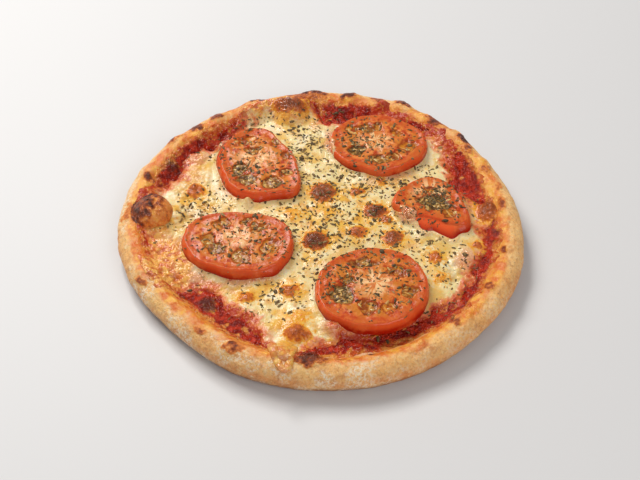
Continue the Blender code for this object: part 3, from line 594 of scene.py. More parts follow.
def cheese_cover(x, y):
    """How far inside the cheese's ragged edge a point lies, with the extra patches and the windows."""
    radius = np.hypot(x, y)
    angle = np.arctan2(y, x)
    inside = on_curve(CHEESE_OUTLINE, angle) + FILM_WIDTH + 3.0 * cloud_map(x, y, 11, 5, 41) - radius
    inside = inside + spot_sum(x, y, EXTRA_CHEESE) - spot_sum(x, y, SAUCE_WINDOWS)
    return np.minimum(inside, on_curve(RIM_OUTLINE, angle) - RIM_ROLL + 1.0 - radius)


def blisters(x, y):
    """Height of the browned blisters, and how brown each of them and the halo round it is."""
    raised = np.zeros(np.shape(x))
    toast = np.zeros(np.shape(x))
    for spot_x, spot_y, half_x, half_y, turn, height, brown in CHEESE_BLISTERS:
        spot = near(x, y, spot_x, spot_y, half_x, half_y, turn)
        halo = near(x, y, spot_x, spot_y, half_x + HALO, half_y + HALO, turn)
        raised += height * spot
        toast = np.maximum(toast, brown * (0.7 * spot**0.4 + 0.3 * np.sqrt(halo)))
    return raised, toast


def shred_hills(x, y):
    """The hills of the shredded places: their crests are cheese, and sauce shows in their valleys."""
    return cloud_map(x, y, 3.6, 3, 121)


def cheese_height(x, y):
    """Top of the cheese, how far inside its edge a point lies, how browned it is, and the gap to a slice."""
    shape = np.shape(x)
    points = flat(x, y)
    ragged_x = x + 1.3 * cloud_map(x, y, 4, 4, 52)
    ragged_y = y + 1.3 * cloud_map(x, y, 4, 4, 55)
    inside = cheese_cover(x, y)
    present = smooth(inside, -1.0, 4.0)
    raised, toast = blisters(ragged_x, ragged_y)
    raised = raised + spot_sum(x, y, CHEESE_MOUNDS)
    level = plain_dough(np.hypot(x, y), np.arctan2(y, x)) + CHEESE_BED
    level = np.maximum(level, sauce_height(x, y)[0] - 0.3 * smooth(inside, 0, 4))
    melt = 0.8 * clouds(points, 14, 2, 44, 0.45) + 0.05 * clouds(points, 4, 2, 47)
    melt = melt + 0.1 * (wrinkles(points, 9, 1, 49) - 0.5)
    top = level + layer_depth(inside, CHEESE_THICKNESS, CHEESE_TAPER, 0.6, 4.0)
    top = top + present * (raised + melt.reshape(shape))
    shreds = present * np.sqrt(np.clip(spot_sum(x, y, SHREDDED), 0, 1))
    rugged = 0.6 * toast + 0.35 * present * smooth(6.0 - inside, 0.0, 6.0) + 0.3 * shreds
    top = top + rugged * cloud_map(x, y, 2.6, 2, 58)
    top = top - 1.1 * shreds * shred_hills(x, y)
    # The cheese climbs a little where it touches a slice or the bubble.
    ground, gap = over_slices(x, y)
    top = top + present * 1.1 * np.exp(-np.clip(gap, 0, None) / 1.4)
    to_bubble = np.hypot(x - BUBBLE[0], y - BUBBLE[1]) - BUBBLE_RADIUS
    top = top + present * 1.8 * np.exp(-np.abs(to_bubble) / 2.2)
    # A veil rises from the cheese beside a slice, over the slice's edge, and ends on its face.
    for veil in VEILS:
        cover = smooth(near(ragged_x, ragged_y, *veil), 0.05, 0.5)
        lifted = np.maximum(top, ground + 0.1 + 0.5 * cover)
        over_slice = ground - 0.8 + (lifted - ground + 0.8) * cover
        veiled = np.where(ground > 0, over_slice, top + cover)
        top = np.where(cover > 0.02, veiled, top)
    return np.maximum(top, LAYER_LOWEST), inside, toast, gap


test_top, _, _, _ = cheese_height(np.array([0.0, 0.0]), np.array([0.0, 30.0]))
print("cheese top in the middle:", np.round(test_top, 1), "mm")

# %% [markdown]
# Two kinds of grid carry these fields. A disc is a square grid bent round: each corner slides in along an
# ellipse, so the cells stay even and no needle-thin triangles gather in the middle. A turned skin is a
# stack of closed loops, capped by a fan at each end. Both come out as one closed mesh, faces outwards.

# %% Grids to meshes
def to_piece(name, vertices, faces, node, fields):
    """Links a mesh piece: vertices in mm, faces as index arrays, and named values kept on the vertices."""
    mesh = bpy.data.meshes.new(name)
    loops = np.concatenate([np.ravel(block) for block in faces])
    sizes = np.concatenate([np.full(len(block), block.shape[1]) for block in faces])
    starts = np.concatenate([[0], np.cumsum(sizes)[:-1]])
    mesh.vertices.add(len(vertices))
    mesh.vertices.foreach_set("co", (np.asarray(vertices) * MM).astype(np.float32).ravel())
    mesh.loops.add(len(loops))
    mesh.loops.foreach_set("vertex_index", loops.astype(np.int32))
    mesh.polygons.add(len(sizes))
    mesh.polygons.foreach_set("loop_start", starts.astype(np.int32))
    mesh.update(calc_edges=True)
    mesh.validate()
    for field, values in fields.items():
        layer = mesh.attributes.new(field, "FLOAT", "POINT")
        layer.data.foreach_set("value", np.asarray(values, np.float32))
    mesh.shade_smooth()
    piece = bpy.data.objects.new(name, mesh)
    bpy.context.scene.collection.objects.link(piece)
    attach(piece, "root")
    if node:
        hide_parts(node)
    print(name, "has", len(vertices), "vertices and", int(np.sum(sizes - 2)), "triangles")
    return piece


def turned_faces(rows, columns):
    """Faces of a stack of loops, each with the given columns, between a first and a last pole vertex."""
    column = np.arange(columns)
    following = (column + 1) % columns
    row = np.arange(rows - 1)[:, None] * columns + 1
    above = row + columns
    quads = np.stack([row + column, row + following, above + following, above + column], axis=-1)
    first = np.stack([np.zeros(columns, int), following + 1, column + 1], axis=1)
    top = 1 + (rows - 1) * columns
    last = np.stack([top + column, top + following, np.full(columns, rows * columns + 1)], axis=1)
    return [quads.reshape(-1, 4), first, last]


def disc_grid(count, radius_at):
    """x and y of a square grid bent into a round: each side's points slide in along ellipses."""
    line = np.linspace(-1, 1, count)
    u, v = np.meshgrid(line, line)
    x = u * np.sqrt(1 - v**2 / 2)
    y = v * np.sqrt(1 - u**2 / 2)
    reach = radius_at(np.arctan2(y, x))
    return x * reach, y * reach


def disc_piece(name, x, y, top, bottom_height, node, fields):
    """A closed slab: the grid as its top, a straight wall at the border and one flat face beneath."""
    count = len(x)
    index = np.arange(count * count).reshape(count, count)
    quads = np.stack([index[:-1, :-1], index[:-1, 1:], index[1:, 1:], index[1:, :-1]], axis=-1)
    border = np.concatenate([index[0, :-1], index[:-1, -1], index[-1, :0:-1], index[:0:-1, 0]])
    vertices = np.stack([x.ravel(), y.ravel(), top.ravel()], axis=1)
    foot = vertices[border].copy()
    foot[:, 2] = bottom_height
    low = count * count + np.arange(len(border))
    after = np.roll(np.arange(len(border)), -1)
    wall = np.stack([border, low, low[after], border[after]], axis=1)
    under = low[::-1][None, :]
    values = {field: np.append(value.ravel(), value.ravel()[border]) for field, value in fields.items()}
    faces = [quads.reshape(-1, 4), wall, under]
    return to_piece(name, np.concatenate([vertices, foot]), faces, node, values)


# %% [markdown]
# The crust is a turned skin: its loops run from the middle of the underside out along the foot, up round
# the rim and down into the basin. A loop is a whole row of radii and a whole row of heights, so stacking
# the rows gives the skin as two arrays. From the first upper row on, they lie above the widest line.

# %% Crust loops
CRUST_COLUMNS = 640
CRUST_SKIN_GAP = 0.3
BASIN_INSET = 26.0
FIRST_UPPER_ROW = 19
turn = np.arange(CRUST_COLUMNS) * (2 * math.pi / CRUST_COLUMNS)
rim = on_curve(RIM_OUTLINE, turn) - CRUST_SKIN_GAP
crest = on_curve(RIM_OUTLINE, turn) - RIM_ROLL
crest_z = crest_height(turn)
loops_r = [np.full(CRUST_COLUMNS, share) * (rim - FOOT_INSET) for share in (0.02, 0.3, 0.6, 0.85, 1.0)]
loops_z = [np.zeros(CRUST_COLUMNS) for _ in loops_r]
for lift in np.radians(np.linspace(8, 84, 12)):
    loops_r.append(rim - FOOT_INSET + FOOT_INSET * math.sin(lift))
    loops_z.append(np.full(CRUST_COLUMNS, RIM_WIDEST_AT * (1 - math.cos(lift))))
for lift in np.radians(np.linspace(0, 90, 34)):
    loops_r.append(crest + (rim - crest) * math.cos(lift))
    loops_z.append(RIM_WIDEST_AT + (crest_z - RIM_WIDEST_AT) * math.sin(lift))
for inset in np.linspace(0.5, BASIN_INSET, 52):
    loops_r.append(crest - inset)
    loops_z.append(plain_dough(crest - inset, turn))
for share in (0.75, 0.4, 0.1):
    loops_r.append(share * (crest - BASIN_INSET))
    loops_z.append(np.full(CRUST_COLUMNS, BASE_THICKNESS))
skin_r = np.array(loops_r)
skin_z = np.array(loops_z)
px = (skin_r * np.cos(turn)).ravel()
py = (skin_r * np.sin(turn)).ravel()
pz = skin_z.ravel()
points = np.stack([px, py, pz], axis=1)
print("crust skin:", len(skin_r), "loops of", CRUST_COLUMNS, "points")

# %% [markdown]
# Noise pushes the skin along the rim's own outward direction, and the small swellings are soft balls
# centred on the plain rim. The big bubble's ball is added later, when the pushed skin is known.

# %% Swellings of the rim
core_r = np.minimum(skin_r, crest)
# Inside the crest the way outward is straight up, so any height above nought will do.
outward_z = np.where(skin_r < crest, 9.0, skin_z - RIM_WIDEST_AT)
away = np.stack([(skin_r - core_r).ravel(), outward_z.ravel()], axis=1)
away /= np.linalg.norm(away, axis=1)[:, None] + 1e-9
push = 0.5 * clouds(points, 24, 2, 71) + 0.32 * clouds(points, 8, 4, 75)
push = push + 0.1 * clouds(points, 2.2, 2, 79) - 0.42
for degrees, inset, size, height in RIM_BLISTERS:
    angle = math.radians(degrees)
    radius = float(on_curve(RIM_OUTLINE, angle)) - inset
    across = 1 - inset / RIM_ROLL
    z = RIM_WIDEST_AT + (float(crest_height(angle)) - RIM_WIDEST_AT) * math.sqrt(1 - across**2)
    middle = np.array((radius * math.cos(angle), radius * math.sin(angle), z))
    push += 0.9 * height * np.clip(1 - np.sum((points - middle) ** 2, axis=1) / size**2, 0, 1) ** 2
print("the rim is pushed by", round(float(push.min()), 1), "to", round(float(push.max()), 1), "mm")

# %% [markdown]
# The finish needs to know where the dough toasted and where melted cheese oiled it. Both are lists of
# ovals that were read on a level plane, so each is first moved along the sight line onto the rim. The big
# bubble is darkest on its far left, with a pattern of its own.

# %% Toast and oil
TOAST_LEVEL = 14.0
OIL_LEVEL = 13.0
RIM_TOAST = (
    (91, 9, 2.5, 5, 0, 0.55), (89, -20, 1.4, 2.6, 0, 0.7), (80, -42, 2.2, 3, 0, 0.6),
    (-88, 29, 2.4, 3.4, 20, 0.85), (-79, 59, 3.5, 5, 30, 0.8), (-67, 68, 5, 4, 40, 0.75),
    (-56, 78, 5, 4, 40, 0.7), (-37, 92, 5, 4, 0, 1.0), (-32, 92, 3, 3, 0, 0.8), (-5, 98, 12, 4, 0, 0.85),
    (16, 96, 6, 4, 0, 0.9), (32, 94, 5, 3, 0, 0.6), (47, 90, 7, 6, -40, 1.0), (62, 74, 7, 4, -45, 0.75),
    (77, 60, 3.5, 7, 0, 0.9), (79, 52, 2.5, 6, 0, 0.6), (87, 36, 3, 4, 0, 0.45), (91, 24, 3, 4, 0, 0.4),
    (-84, -40, 1.8, 4.4, 35, 0.6), (-38, -80, 8, 3, -10, 0.42), (-39, -79, 3, 1.4, -20, 0.75),
    (22, -82, 2.6, 2.2, 0, 0.8), (62, -64, 2.6, 3.2, 0, 0.65), (-96, 6, 4, 9, 0, 0.35),
    (-15, 96, 7, 4, 0, 0.5), (-4, -84.5, 10, 6, 0, 0.85), (-54, -70, 3.5, 1.6, -35, 0.5),
    (10, -86, 4, 2, 0, 0.45), (-8, 95, 18, 6, 0, 0.5), (-46, 86, 14, 3, 35, 0.34),
    (-76, 62, 14, 3, 50, 0.3), (66, 72, 16, 3, -45, 0.34),
)
OILY_BAND = (
    (-86, 44, 7, 24, -27, 1.2), (-66, 66, 16, 8, 45, 1.2), (82, 42, 10, 26, 22, 1.5),
    (86, 12, 8, 18, 8, 1.3), (60, 76, 18, 8, -40, 1.3), (-48, 84, 18, 7, 33, 1.2), (0, 94, 34, 8, 0, 1.1),
    (-92, 20, 5, 16, -8, 1.1), (-92, -6, 5, 12, 0, 1.0), (-87, -28, 8, 20, 18, 1.0),
    (-70, -56, 12, 16, 45, 1.0), (10, -85, 18, 5, 0, 0.7), (45, -79, 8, 5, 20, 0.75),
    (-55, -68, 10, 6, -30, 0.6), (-22, -84, 16, 5, 0, 0.7), (70, -58, 8, 16, -40, 0.9),
    (82, -34, 8, 18, -20, 1.2), (87, -10, 7, 18, -5, 1.1), (30, 92, 20, 6, 0, 0.7),
    (45, -81, 4.5, 3, 0, 1.0),
)
on_ball = points.copy()
on_ball[:, 2] = np.maximum(points[:, 2], dome(points[:, 0], points[:, 1]))
waver = 1.5 * clouds(points, 5, 4, 83)
ripple = 1.5 * clouds(points, 5, 4, 84)
speckle = clouds(on_ball, 2.6, 3, 85)
toast = np.zeros(len(points))
for spot_x, spot_y, half_x, half_y, lean, brown in RIM_TOAST:
    place_x, place_y = seen(spot_x, spot_y, TOAST_LEVEL)
    spot = near(px + waver, py + ripple, place_x, place_y, half_x + 0.7, half_y + 0.7, lean)
    soft = smooth(spot**0.4 + 0.35 * speckle - 0.1, 0.0, 1.0) * (spot > 0)
    toast = np.maximum(toast, brown * soft * smooth(spot, 0.0, 0.15))
upper = smooth(pz, 7.0, 11.0)
toast *= upper
ball = np.hypot(px - BUBBLE[0], py - BUBBLE[1]) < BUBBLE_RADIUS + 0.5
far_left = -(px - BUBBLE[0]) * 0.8 + (py - BUBBLE[1]) * 0.4
char = smooth(far_left + 1.6 * waver + 4.5 * speckle, -6.5, 5.0)
blister_skin = clouds(on_ball, 5.0, 4, 95)
ball_toast = 0.26 + 0.5 * char + (0.14 + 0.3 * char) * blister_skin + 0.12 * speckle
toast = np.where(ball, ball_toast, toast)
oily_spots = [(*seen(spot_x, spot_y, OIL_LEVEL), *rest) for spot_x, spot_y, *rest in OILY_BAND]
oily = strongest_spot(px + waver, py + ripple, oily_spots)
from_edge = on_curve(RIM_OUTLINE, np.arctan2(py, px)) - np.hypot(px, py)
inner = smooth(from_edge + 1.5 * waver, 6.0, 11.5)
oily = np.maximum(oily, 0.75 * inner) * upper * smooth(from_edge + waver, 3.0, 8.5)
oily = np.clip(oily, 0, 1)
oily = np.where(ball, np.maximum(oily, 0.8), oily)
print("toasted share of the crust's points:", round(float(np.mean(toast > 0.3)), 3))

# %% [markdown]
# Toasted places get a crackled grain and oily ones soft lumps; then the push is laid on and the bubble
# joined. Five values go with the mesh: how toasted, oily and floury each point is, how much it belongs to
# the rim's upper side, painted paler as pale bake and painted light, and how low it is on the rim's foot,
# which the finish darkens with the bake's brown and painted shade.

# %% Crust
push += toast * (0.35 * wrinkles(points, 2.6, 2, 87) + 0.25 * clouds(points, 1.8, 2, 88)) * (pz > 6.5)
push += oily * (0.45 * clouds(points, 4.5, 3, 86) + 0.3 * wrinkles(points, 4, 2, 89))
push *= smooth(pz, 0.2, 4.0)
crust_r = skin_r.ravel() + away[:, 0] * push
crust_z = pz + away[:, 1] * push
columns_turn = np.tile(turn, len(skin_r))
crust_x = crust_r * np.cos(columns_turn)
crust_y = crust_r * np.sin(columns_turn)
ball_grain = (0.4 + 0.6 * char) * (0.6 * clouds(on_ball, 6.0, 3, 91) + 1.0 * blister_skin)
upper_rows = np.repeat(np.arange(len(skin_r)) >= FIRST_UPPER_ROW, CRUST_COLUMNS)
crust_z = np.where(upper_rows, soft_max(crust_z, dome(crust_x, crust_y) + ball_grain, 1.0), crust_z)
underside = np.array([[0.0, 0.0, 0.0]])
basin = np.array([[0.0, 0.0, BASE_THICKNESS]])
crust_points = np.concatenate([underside, np.stack([crust_x, crust_y, crust_z], axis=1), basin])
front_left = smooth(-px - py, 10.0, 90.0)
dusted = np.maximum(front_left, 0.3 * smooth(-py, 20.0, 70.0))
floury = smooth(clouds(points, 12, 4, 97), -0.4, 0.4) * (1 - oily) * (0.1 + 0.9 * dusted)
# The rim's upper side gets painted light and its foot painted shade, each mixed with the bake's own colour.
lit_pale_shoulder = smooth(pz, 7.5, 12.5) * (1 - oily)
low = 1 - smooth(pz + 0.5 * waver, 0.5, 9.0)
values = {"toast": toast, "oily": oily, "floury": floury, "lit_pale_shoulder": lit_pale_shoulder, "low": low}
values = {field: np.concatenate([[0], value, [0]]) for field, value in values.items()}
crust_faces = turned_faces(len(skin_r), CRUST_COLUMNS)
crust = to_piece("crust_baked", crust_points, crust_faces, "crust", values)

# %% [markdown]
# Sauce and cheese become slabs on disc grids, whose borders end buried in the dough of the rim. The sauce
# keeps how burnt and how mixed with melted cheese it is. At the right some of it spilt over a slice's edge,
# and under the middle of the cheese it stays low, where nobody sees it.

# %% Sauce
SAUCE_GRID = 250
SAUCE_MIDDLE = 58.0
SAUCE_MIDDLE_TOP = 7.6
SPILL = (77, 21, 8, 11, 10)
ORANGE_ZONES = (
    (-80, -34, 10, 18, 10, 1.0), (-64, -62, 14, 9, -45, 0.9), (-32, -81, 22, 5, -15, 0.9),
    (12, -84, 20, 5, 0, 0.8), (46, -78, 10, 5, 20, 0.9), (72, -58, 6, 14, -35, 0.6),
    (86, 32, 5, 22, 10, 0.7), (-55, 74, 26, 12, 38, 1.0), (-30, 88, 14, 5, 15, 0.8),
    (-88, 30, 5, 16, -10, 0.7), (44, 84, 14, 5, -25, 0.8), (6, 92, 24, 4, 0, 0.6),
)


def layer_reach(angle):
    """How far a layer's grid runs out, ending buried in the dough of the rim."""
    return on_curve(RIM_OUTLINE, angle) - RIM_ROLL + 1.5


def zone_field(x, y, zones, seed):
    """The strongest of several soft ovals at each point, with wavering borders."""
    waver_x = 2.2 * cloud_map(x, y, 8, 3, seed)
    waver_y = 2.2 * cloud_map(x, y, 8, 3, seed + 5)
    return strongest_spot(x + waver_x, y + waver_y, zones)


grid_x, grid_y = disc_grid(SAUCE_GRID, layer_reach)
sauce_top, sauce_inside = sauce_height(grid_x, grid_y)
under_cheese = np.hypot(grid_x, grid_y) < SAUCE_MIDDLE
sauce_top = np.where(under_cheese, np.minimum(sauce_top, SAUCE_MIDDLE_TOP), sauce_top)
right_row = SLICES["tomato_slice_right"]
face_z, _, _ = face_height(right_row, grid_x, grid_y)
distance, face, _ = around(right_row, grid_x, grid_y)
spill = smooth(near(grid_x, grid_y, *SPILL) + 0.1 * cloud_map(grid_x, grid_y, 3, 2, 12), 0.05, 0.5)
spilt_top = sauce_top + (np.maximum(sauce_top, face_z + 0.4) - sauce_top) * spill
sauce_top = np.where(distance < face, spilt_top, sauce_top)
ragged = 0.6 * cloud_map(grid_x, grid_y, 3, 3, 15)
burnt = strongest_spot(grid_x + ragged, grid_y + ragged, BURNT_SAUCE)
mixed = smooth(cloud_map(grid_x, grid_y, 5, 4, 19), 0.1, 0.9) + 0.8 * smooth(-sauce_inside, -4.0, 0.0)
mixed = np.clip(mixed + zone_field(grid_x, grid_y, ORANGE_ZONES, 141), 0, 1)
sauce = disc_piece("sauce_coat", grid_x, grid_y, sauce_top, LAYER_FOOT, "tomato_sauce",
                   {"burnt": burnt, "mixed": mixed})

# %% [markdown]
# The cheese keeps how brown, thin, golden and pink it is, and where flecks of sauce show through. Golden
# zones fried in their own fat; pink ones lie thin over sauce or wrap a slice, and two left of the middle
# are painted shade that tones down the strongest light. Its thinness is broken up by curds, so that the
# film at its edge tears instead of fading.

# %% Cheese
CHEESE_GRID = 305
THICK_RUN = (-16, -84, 7, 9)
GOLD_ZONES = (
    (-10, 5, 15, 10, 0, 0.9), (8, 3, 30, 26, 0, 0.75), (24, 24, 18, 8, 0, 0.4), (-14, 64, 14, 10, 0, 0.35),
    (-22, -47, 20, 10, 0, 0.85), (-60, 8, 10, 8, 0, 0.5), (-4, -28, 8, 14, 0, 0.6), (56, -26, 9, 9, 0, 0.6),
    (-10, -62, 12, 8, 0, 0.9), (-65, 16, 10, 12, 0, 0.9), (-76, -32, 18, 26, 10, 1.6),
    (-15, 76, 14, 12, 0, 0.8), (44, -16, 18, 12, 0, 0.45), (-16, -82, 7, 10, 0, 0.9),
    (58, -36, 10, 8, 0, 0.4), (86, 6, 7, 12, 0, 0.6), (-70, 30, 10, 12, 0, 0.3),
    (-66, -56, 10, 12, 30, 0.9), (-4, 46, 9, 20, 0, 0.3), (-52, 74, 20, 8, 35, 0.8),
    (24, -80, 16, 4, 0, 0.7), (66, 12, 10, 8, 0, 0.3), (30, 26, 16, 8, 10, 0.4), (-44, -46, 10, 5, 0, 0.6),
    (6, -78, 14, 6, 0, 0.7), (-84, 12, 5, 12, 0, 0.5), (-20, 88, 14, 6, 0, 0.9), (82, 0, 6, 12, 0, 0.5),
    (-72, 3, 6, 11, 0, 0.9), (-80, -9, 10, 6, 0, 1.0), (-36, 80, 16, 8, 22, 1.0),
    (-66, 34, 14, 16, 0, 0.45), (-12, -64, 14, 10, 0, 1.2),
)
PINK_ZONES = (
    (-66, 45, 11, 9, 40, 0.9), (76, -26, 9, 18, 0, 0.7), (8, -68, 9, 9, 0, 0.8), (64, 56, 6, 12, 0, 0.6),
    (-58, -40, 14, 7, -10, 0.8), (36, 30, 22, 6, 10, 0.5), (6, 60, 5, 14, 0, 0.8), (44, 6, 7, 11, 0, 1.0),
    (20, 84, 7, 9, 0, 0.9), (60, -54, 8, 6, 0, 0.8), (-2, 72, 6, 9, 0, 0.6), (-50, 64, 7, 8, 0, 0.5),
    (78, 8, 7, 10, 0, 0.6), (-74, -12, 9, 6, 0, 0.4), (-24, -72, 6, 6, 0, 0.5), (34, -72, 16, 5, 0, 0.7),
    (-36, -41, 20, 4, 5, 0.5), (-80, 22, 6, 10, 0, 0.35), (-77, -30, 18, 26, 10, 1.5),
    (-66, -54, 14, 14, 30, 1.2), (-50, 76, 20, 8, 35, 0.7), (-17, 86, 12, 6, 0, 0.8),
    (-16, -84, 8, 9, 0, 1.0), (24, -80, 16, 4, 0, 0.7), (-80, -9, 10, 6, 0, 0.8), (-16, 79, 13, 9, 0, 1.0),
    (-30, 84, 18, 8, 15, 1.0), (-67, 30, 14, 20, 0, 0.55), (72, -28, 9, 14, 0, 0.9),
    # The first two ovals of this row tint the cheese left of the middle beige: painted shade under the
    # window light.
    (-62, 6, 16, 11, 0, 0.4), (-52, 18, 12, 14, 0, 0.3), (-36, 80, 20, 8, 20, 0.6),
    (-14, -68, 10, 8, 0, 0.5),
)
grid_x, grid_y = disc_grid(CHEESE_GRID, layer_reach)
cheese_top, cheese_inside, cheese_toast, slice_gap = cheese_height(grid_x, grid_y)
gold = zone_field(grid_x, grid_y, GOLD_ZONES, 101)
pink = zone_field(grid_x, grid_y, PINK_ZONES, 111)
pink = np.clip(pink + 0.5 * np.exp(-np.clip(slice_gap, 0, None) / 1.6), 0, 1)
curdled = 3.2 * cloud_map(grid_x, grid_y, 8, 4, 118)
curdled += 1.6 * cloud_map(grid_x, grid_y, 3, 2, 124)
thin = 1 - smooth(cheese_inside + curdled, -1.0, 11.0)
thin = thin * (1 - 0.8 * np.sqrt(near(grid_x, grid_y, *THICK_RUN)))
flecks = smooth(shred_hills(grid_x, grid_y), 0.28, 0.52) * smooth(pink + thin, 0.35, 0.9)
cheese = disc_piece("cheese_melt", grid_x, grid_y, cheese_top, LAYER_FOOT, "melted_cheese",
                    {"toast": cheese_toast, "thin": thin, "gold": gold, "pink": pink, "flecks": flecks})

# %% [markdown]
# At the front a strand of cheese ran over the rim like a tongue, out and back again. It is a tube along a
# given path, thick at its ends and lying half sunk on whatever is below it.

# %% Run of cheese
STRAND = (
    (-21, -74), (-20.5, -80), (-19.2, -86), (-17, -91), (-15, -92.5), (-13.2, -89.5), (-12.6, -84),
    (-11.5, -76),
)
STRAND_LEVEL = 14.0
STRAND_SIDES = 14
STRAND_SINK = 1.1
STRAND_STEPS = 70
knot = np.linspace(0, 1, len(STRAND))
share = np.linspace(0, 1, STRAND_STEPS)
path_x = np.interp(share, knot, [spot[0] for spot in STRAND])
path_y = np.interp(share, knot, [spot[1] for spot in STRAND])
for _ in range(12):
    path_x[1:-1] = (path_x[:-2] + path_x[1:-1] + path_x[2:]) / 3
    path_y[1:-1] = (path_y[:-2] + path_y[1:-1] + path_y[2:]) / 3
path_x, path_y = seen(path_x, path_y, STRAND_LEVEL)
strand_ground = np.maximum(dough_height(path_x, path_y), cheese_height(path_x, path_y)[0])
strand_radius = 2.5 - 0.9 * share + 0.4 * np.cos(share * 2 * math.pi)
strand_radius = strand_radius + 0.3 * cloud_map(path_x, path_y, 5, 2, 131)
along_x = np.gradient(path_x)
along_y = np.gradient(path_y)
length = np.hypot(along_x, along_y)
spin = np.arange(STRAND_SIDES) * (2 * math.pi / STRAND_SIDES)
side = strand_radius[:, None] * np.cos(spin)
rise = 0.8 * strand_radius[:, None] * np.sin(spin)
tube_x = path_x[:, None] + side * (along_y / length)[:, None]
tube_y = path_y[:, None] - side * (along_x / length)[:, None]
tube_z = strand_ground[:, None] - STRAND_SINK + rise
ends = [np.array([[path_x[i], path_y[i], strand_ground[i] - STRAND_SINK]]) for i in (0, -1)]
tube = np.stack([tube_x.ravel(), tube_y.ravel(), tube_z.ravel()], axis=1)
tube = np.concatenate([ends[0], tube, ends[1]])
strand_values = {"gold": np.full(len(tube), 0.9), "pink": np.full(len(tube), 0.75)}
strand_faces = [block[:, ::-1] for block in turned_faces(STRAND_STEPS, STRAND_SIDES)]
strand = to_piece("cheese_run", tube, strand_faces, None, strand_values)

# %% [markdown]
# A slice is a turned skin: underside, bulging side, rounded edge and cut face. The face rows ask the same
# height function as everything that lies on the slice. Streaks in the core's finish need to know in which
# direction and how far from the core a point lies, so that goes with the mesh too.

# %% Tomato slices
SLICE_COLUMNS = 230
SIDE_BULGE = 0.35


def slice_piece(node, row):
    """The whole skin of one slice, with values for skin, seed pocket, core and how far down it lies, for its
    painted shade.
    """
    angle = np.arange(SLICE_COLUMNS) * (2 * math.pi / SLICE_COLUMNS)
    face, foot = radii(row, angle)
    middle_x, middle_y = row["middle"]

    def ring(radius):
        return middle_x + radius * np.cos(angle), middle_y + radius * np.sin(angle)

    lip, _, _ = face_height(row, *ring(face))
    underside = np.full(SLICE_COLUMNS, SLICE_UNDERSIDE)
    rings = [(*ring(share * foot), underside, 1.0) for share in (0.1, 0.5, 0.9)]
    for step in np.linspace(0.03, 0.97, 18):
        radius = face + (foot - face) * (1 - step) ** side_power(face, foot)
        radius = radius + SIDE_BULGE * math.sin(math.pi * step)
        rings.append((*ring(radius), SLICE_UNDERSIDE + (lip - SLICE_UNDERSIDE) * step, 1.0))
    for inset in np.linspace(0, LIP, 9):
        x, y = ring(face - inset)
        rings.append((x, y, face_height(row, x, y)[0], 1.0 - float(smooth(inset, 0.5, 1.3))))
    for share in np.linspace(1, 0.03, 66)[1:]:
        x, y = ring((face - LIP) * share)
        rings.append((x, y, face_height(row, x, y)[0], 0.0))
    x, y, z = [np.concatenate([loop[axis] for loop in rings]) for axis in range(3)]
    skin = np.concatenate([np.full(SLICE_COLUMNS, loop[3]) for loop in rings])
    distance, face, _ = around(row, x, y)
    pocket, olive = pocket_depth(row, x, y)
    pocket = pocket * (1 - skin)
    to_core = np.hypot(x - row["core"][0], y - row["core"][1])
    bearing = np.arctan2(y - row["core"][1], x - row["core"][0])
    top, _, _ = face_height(row, np.array([middle_x]), np.array([middle_y]))
    low = np.array([[middle_x, middle_y, SLICE_UNDERSIDE]])
    high = np.array([[middle_x, middle_y, float(top[0])]])
    vertices = np.concatenate([low, np.stack([x, y, z], axis=1), high])
    core = 1 - smooth(to_core, 3.0, 13.0)
    wall = smooth(distance - face, -7.0, -3.0) * (1 - pocket)
    # How far down the side a point lies: the finish paints the skin darker there as painted shade.
    painted_side_shade = 1 - smooth(z, SLICE_UNDERSIDE, row["top"])
    values = {"skin": skin, "pocket": pocket, "olive": olive, "core": core, "wall": wall, "painted_side_shade": painted_side_shade,
              "ray_x": np.cos(bearing), "ray_y": np.sin(bearing), "ray_out": to_core}
    values = {field: np.concatenate([[0], value, [value[-1]]]) for field, value in values.items()}
    short = node.replace("tomato_slice_", "slice_")
    return to_piece(short, vertices, turned_faces(len(rings), SLICE_COLUMNS), node, values)


slice_pieces = [slice_piece(node, row) for node, row in SLICES.items()]

# %% [markdown]
# Everything small lies on what is under it: a shared function gives the height of the topmost surface,
# and its slope tilts each bit. Each kind is one joined mesh, made from arrays all at once: a template of
# corners is sized, turned onto three directions of its own and moved to its place.

# %% Scattered bits
SLOPE_STEP = 0.6
STEEPEST = 0.8


def ground_height(x, y):
    """The highest of dough, sauce, cheese and slices at each point."""
    sauce_z, _ = sauce_height(x, y)
    cheese_z, _, _, _ = cheese_height(x, y)
    slices_z, _ = over_slices(x, y)
    return np.maximum(np.maximum(dough_height(x, y), sauce_z), np.maximum(cheese_z, slices_z))


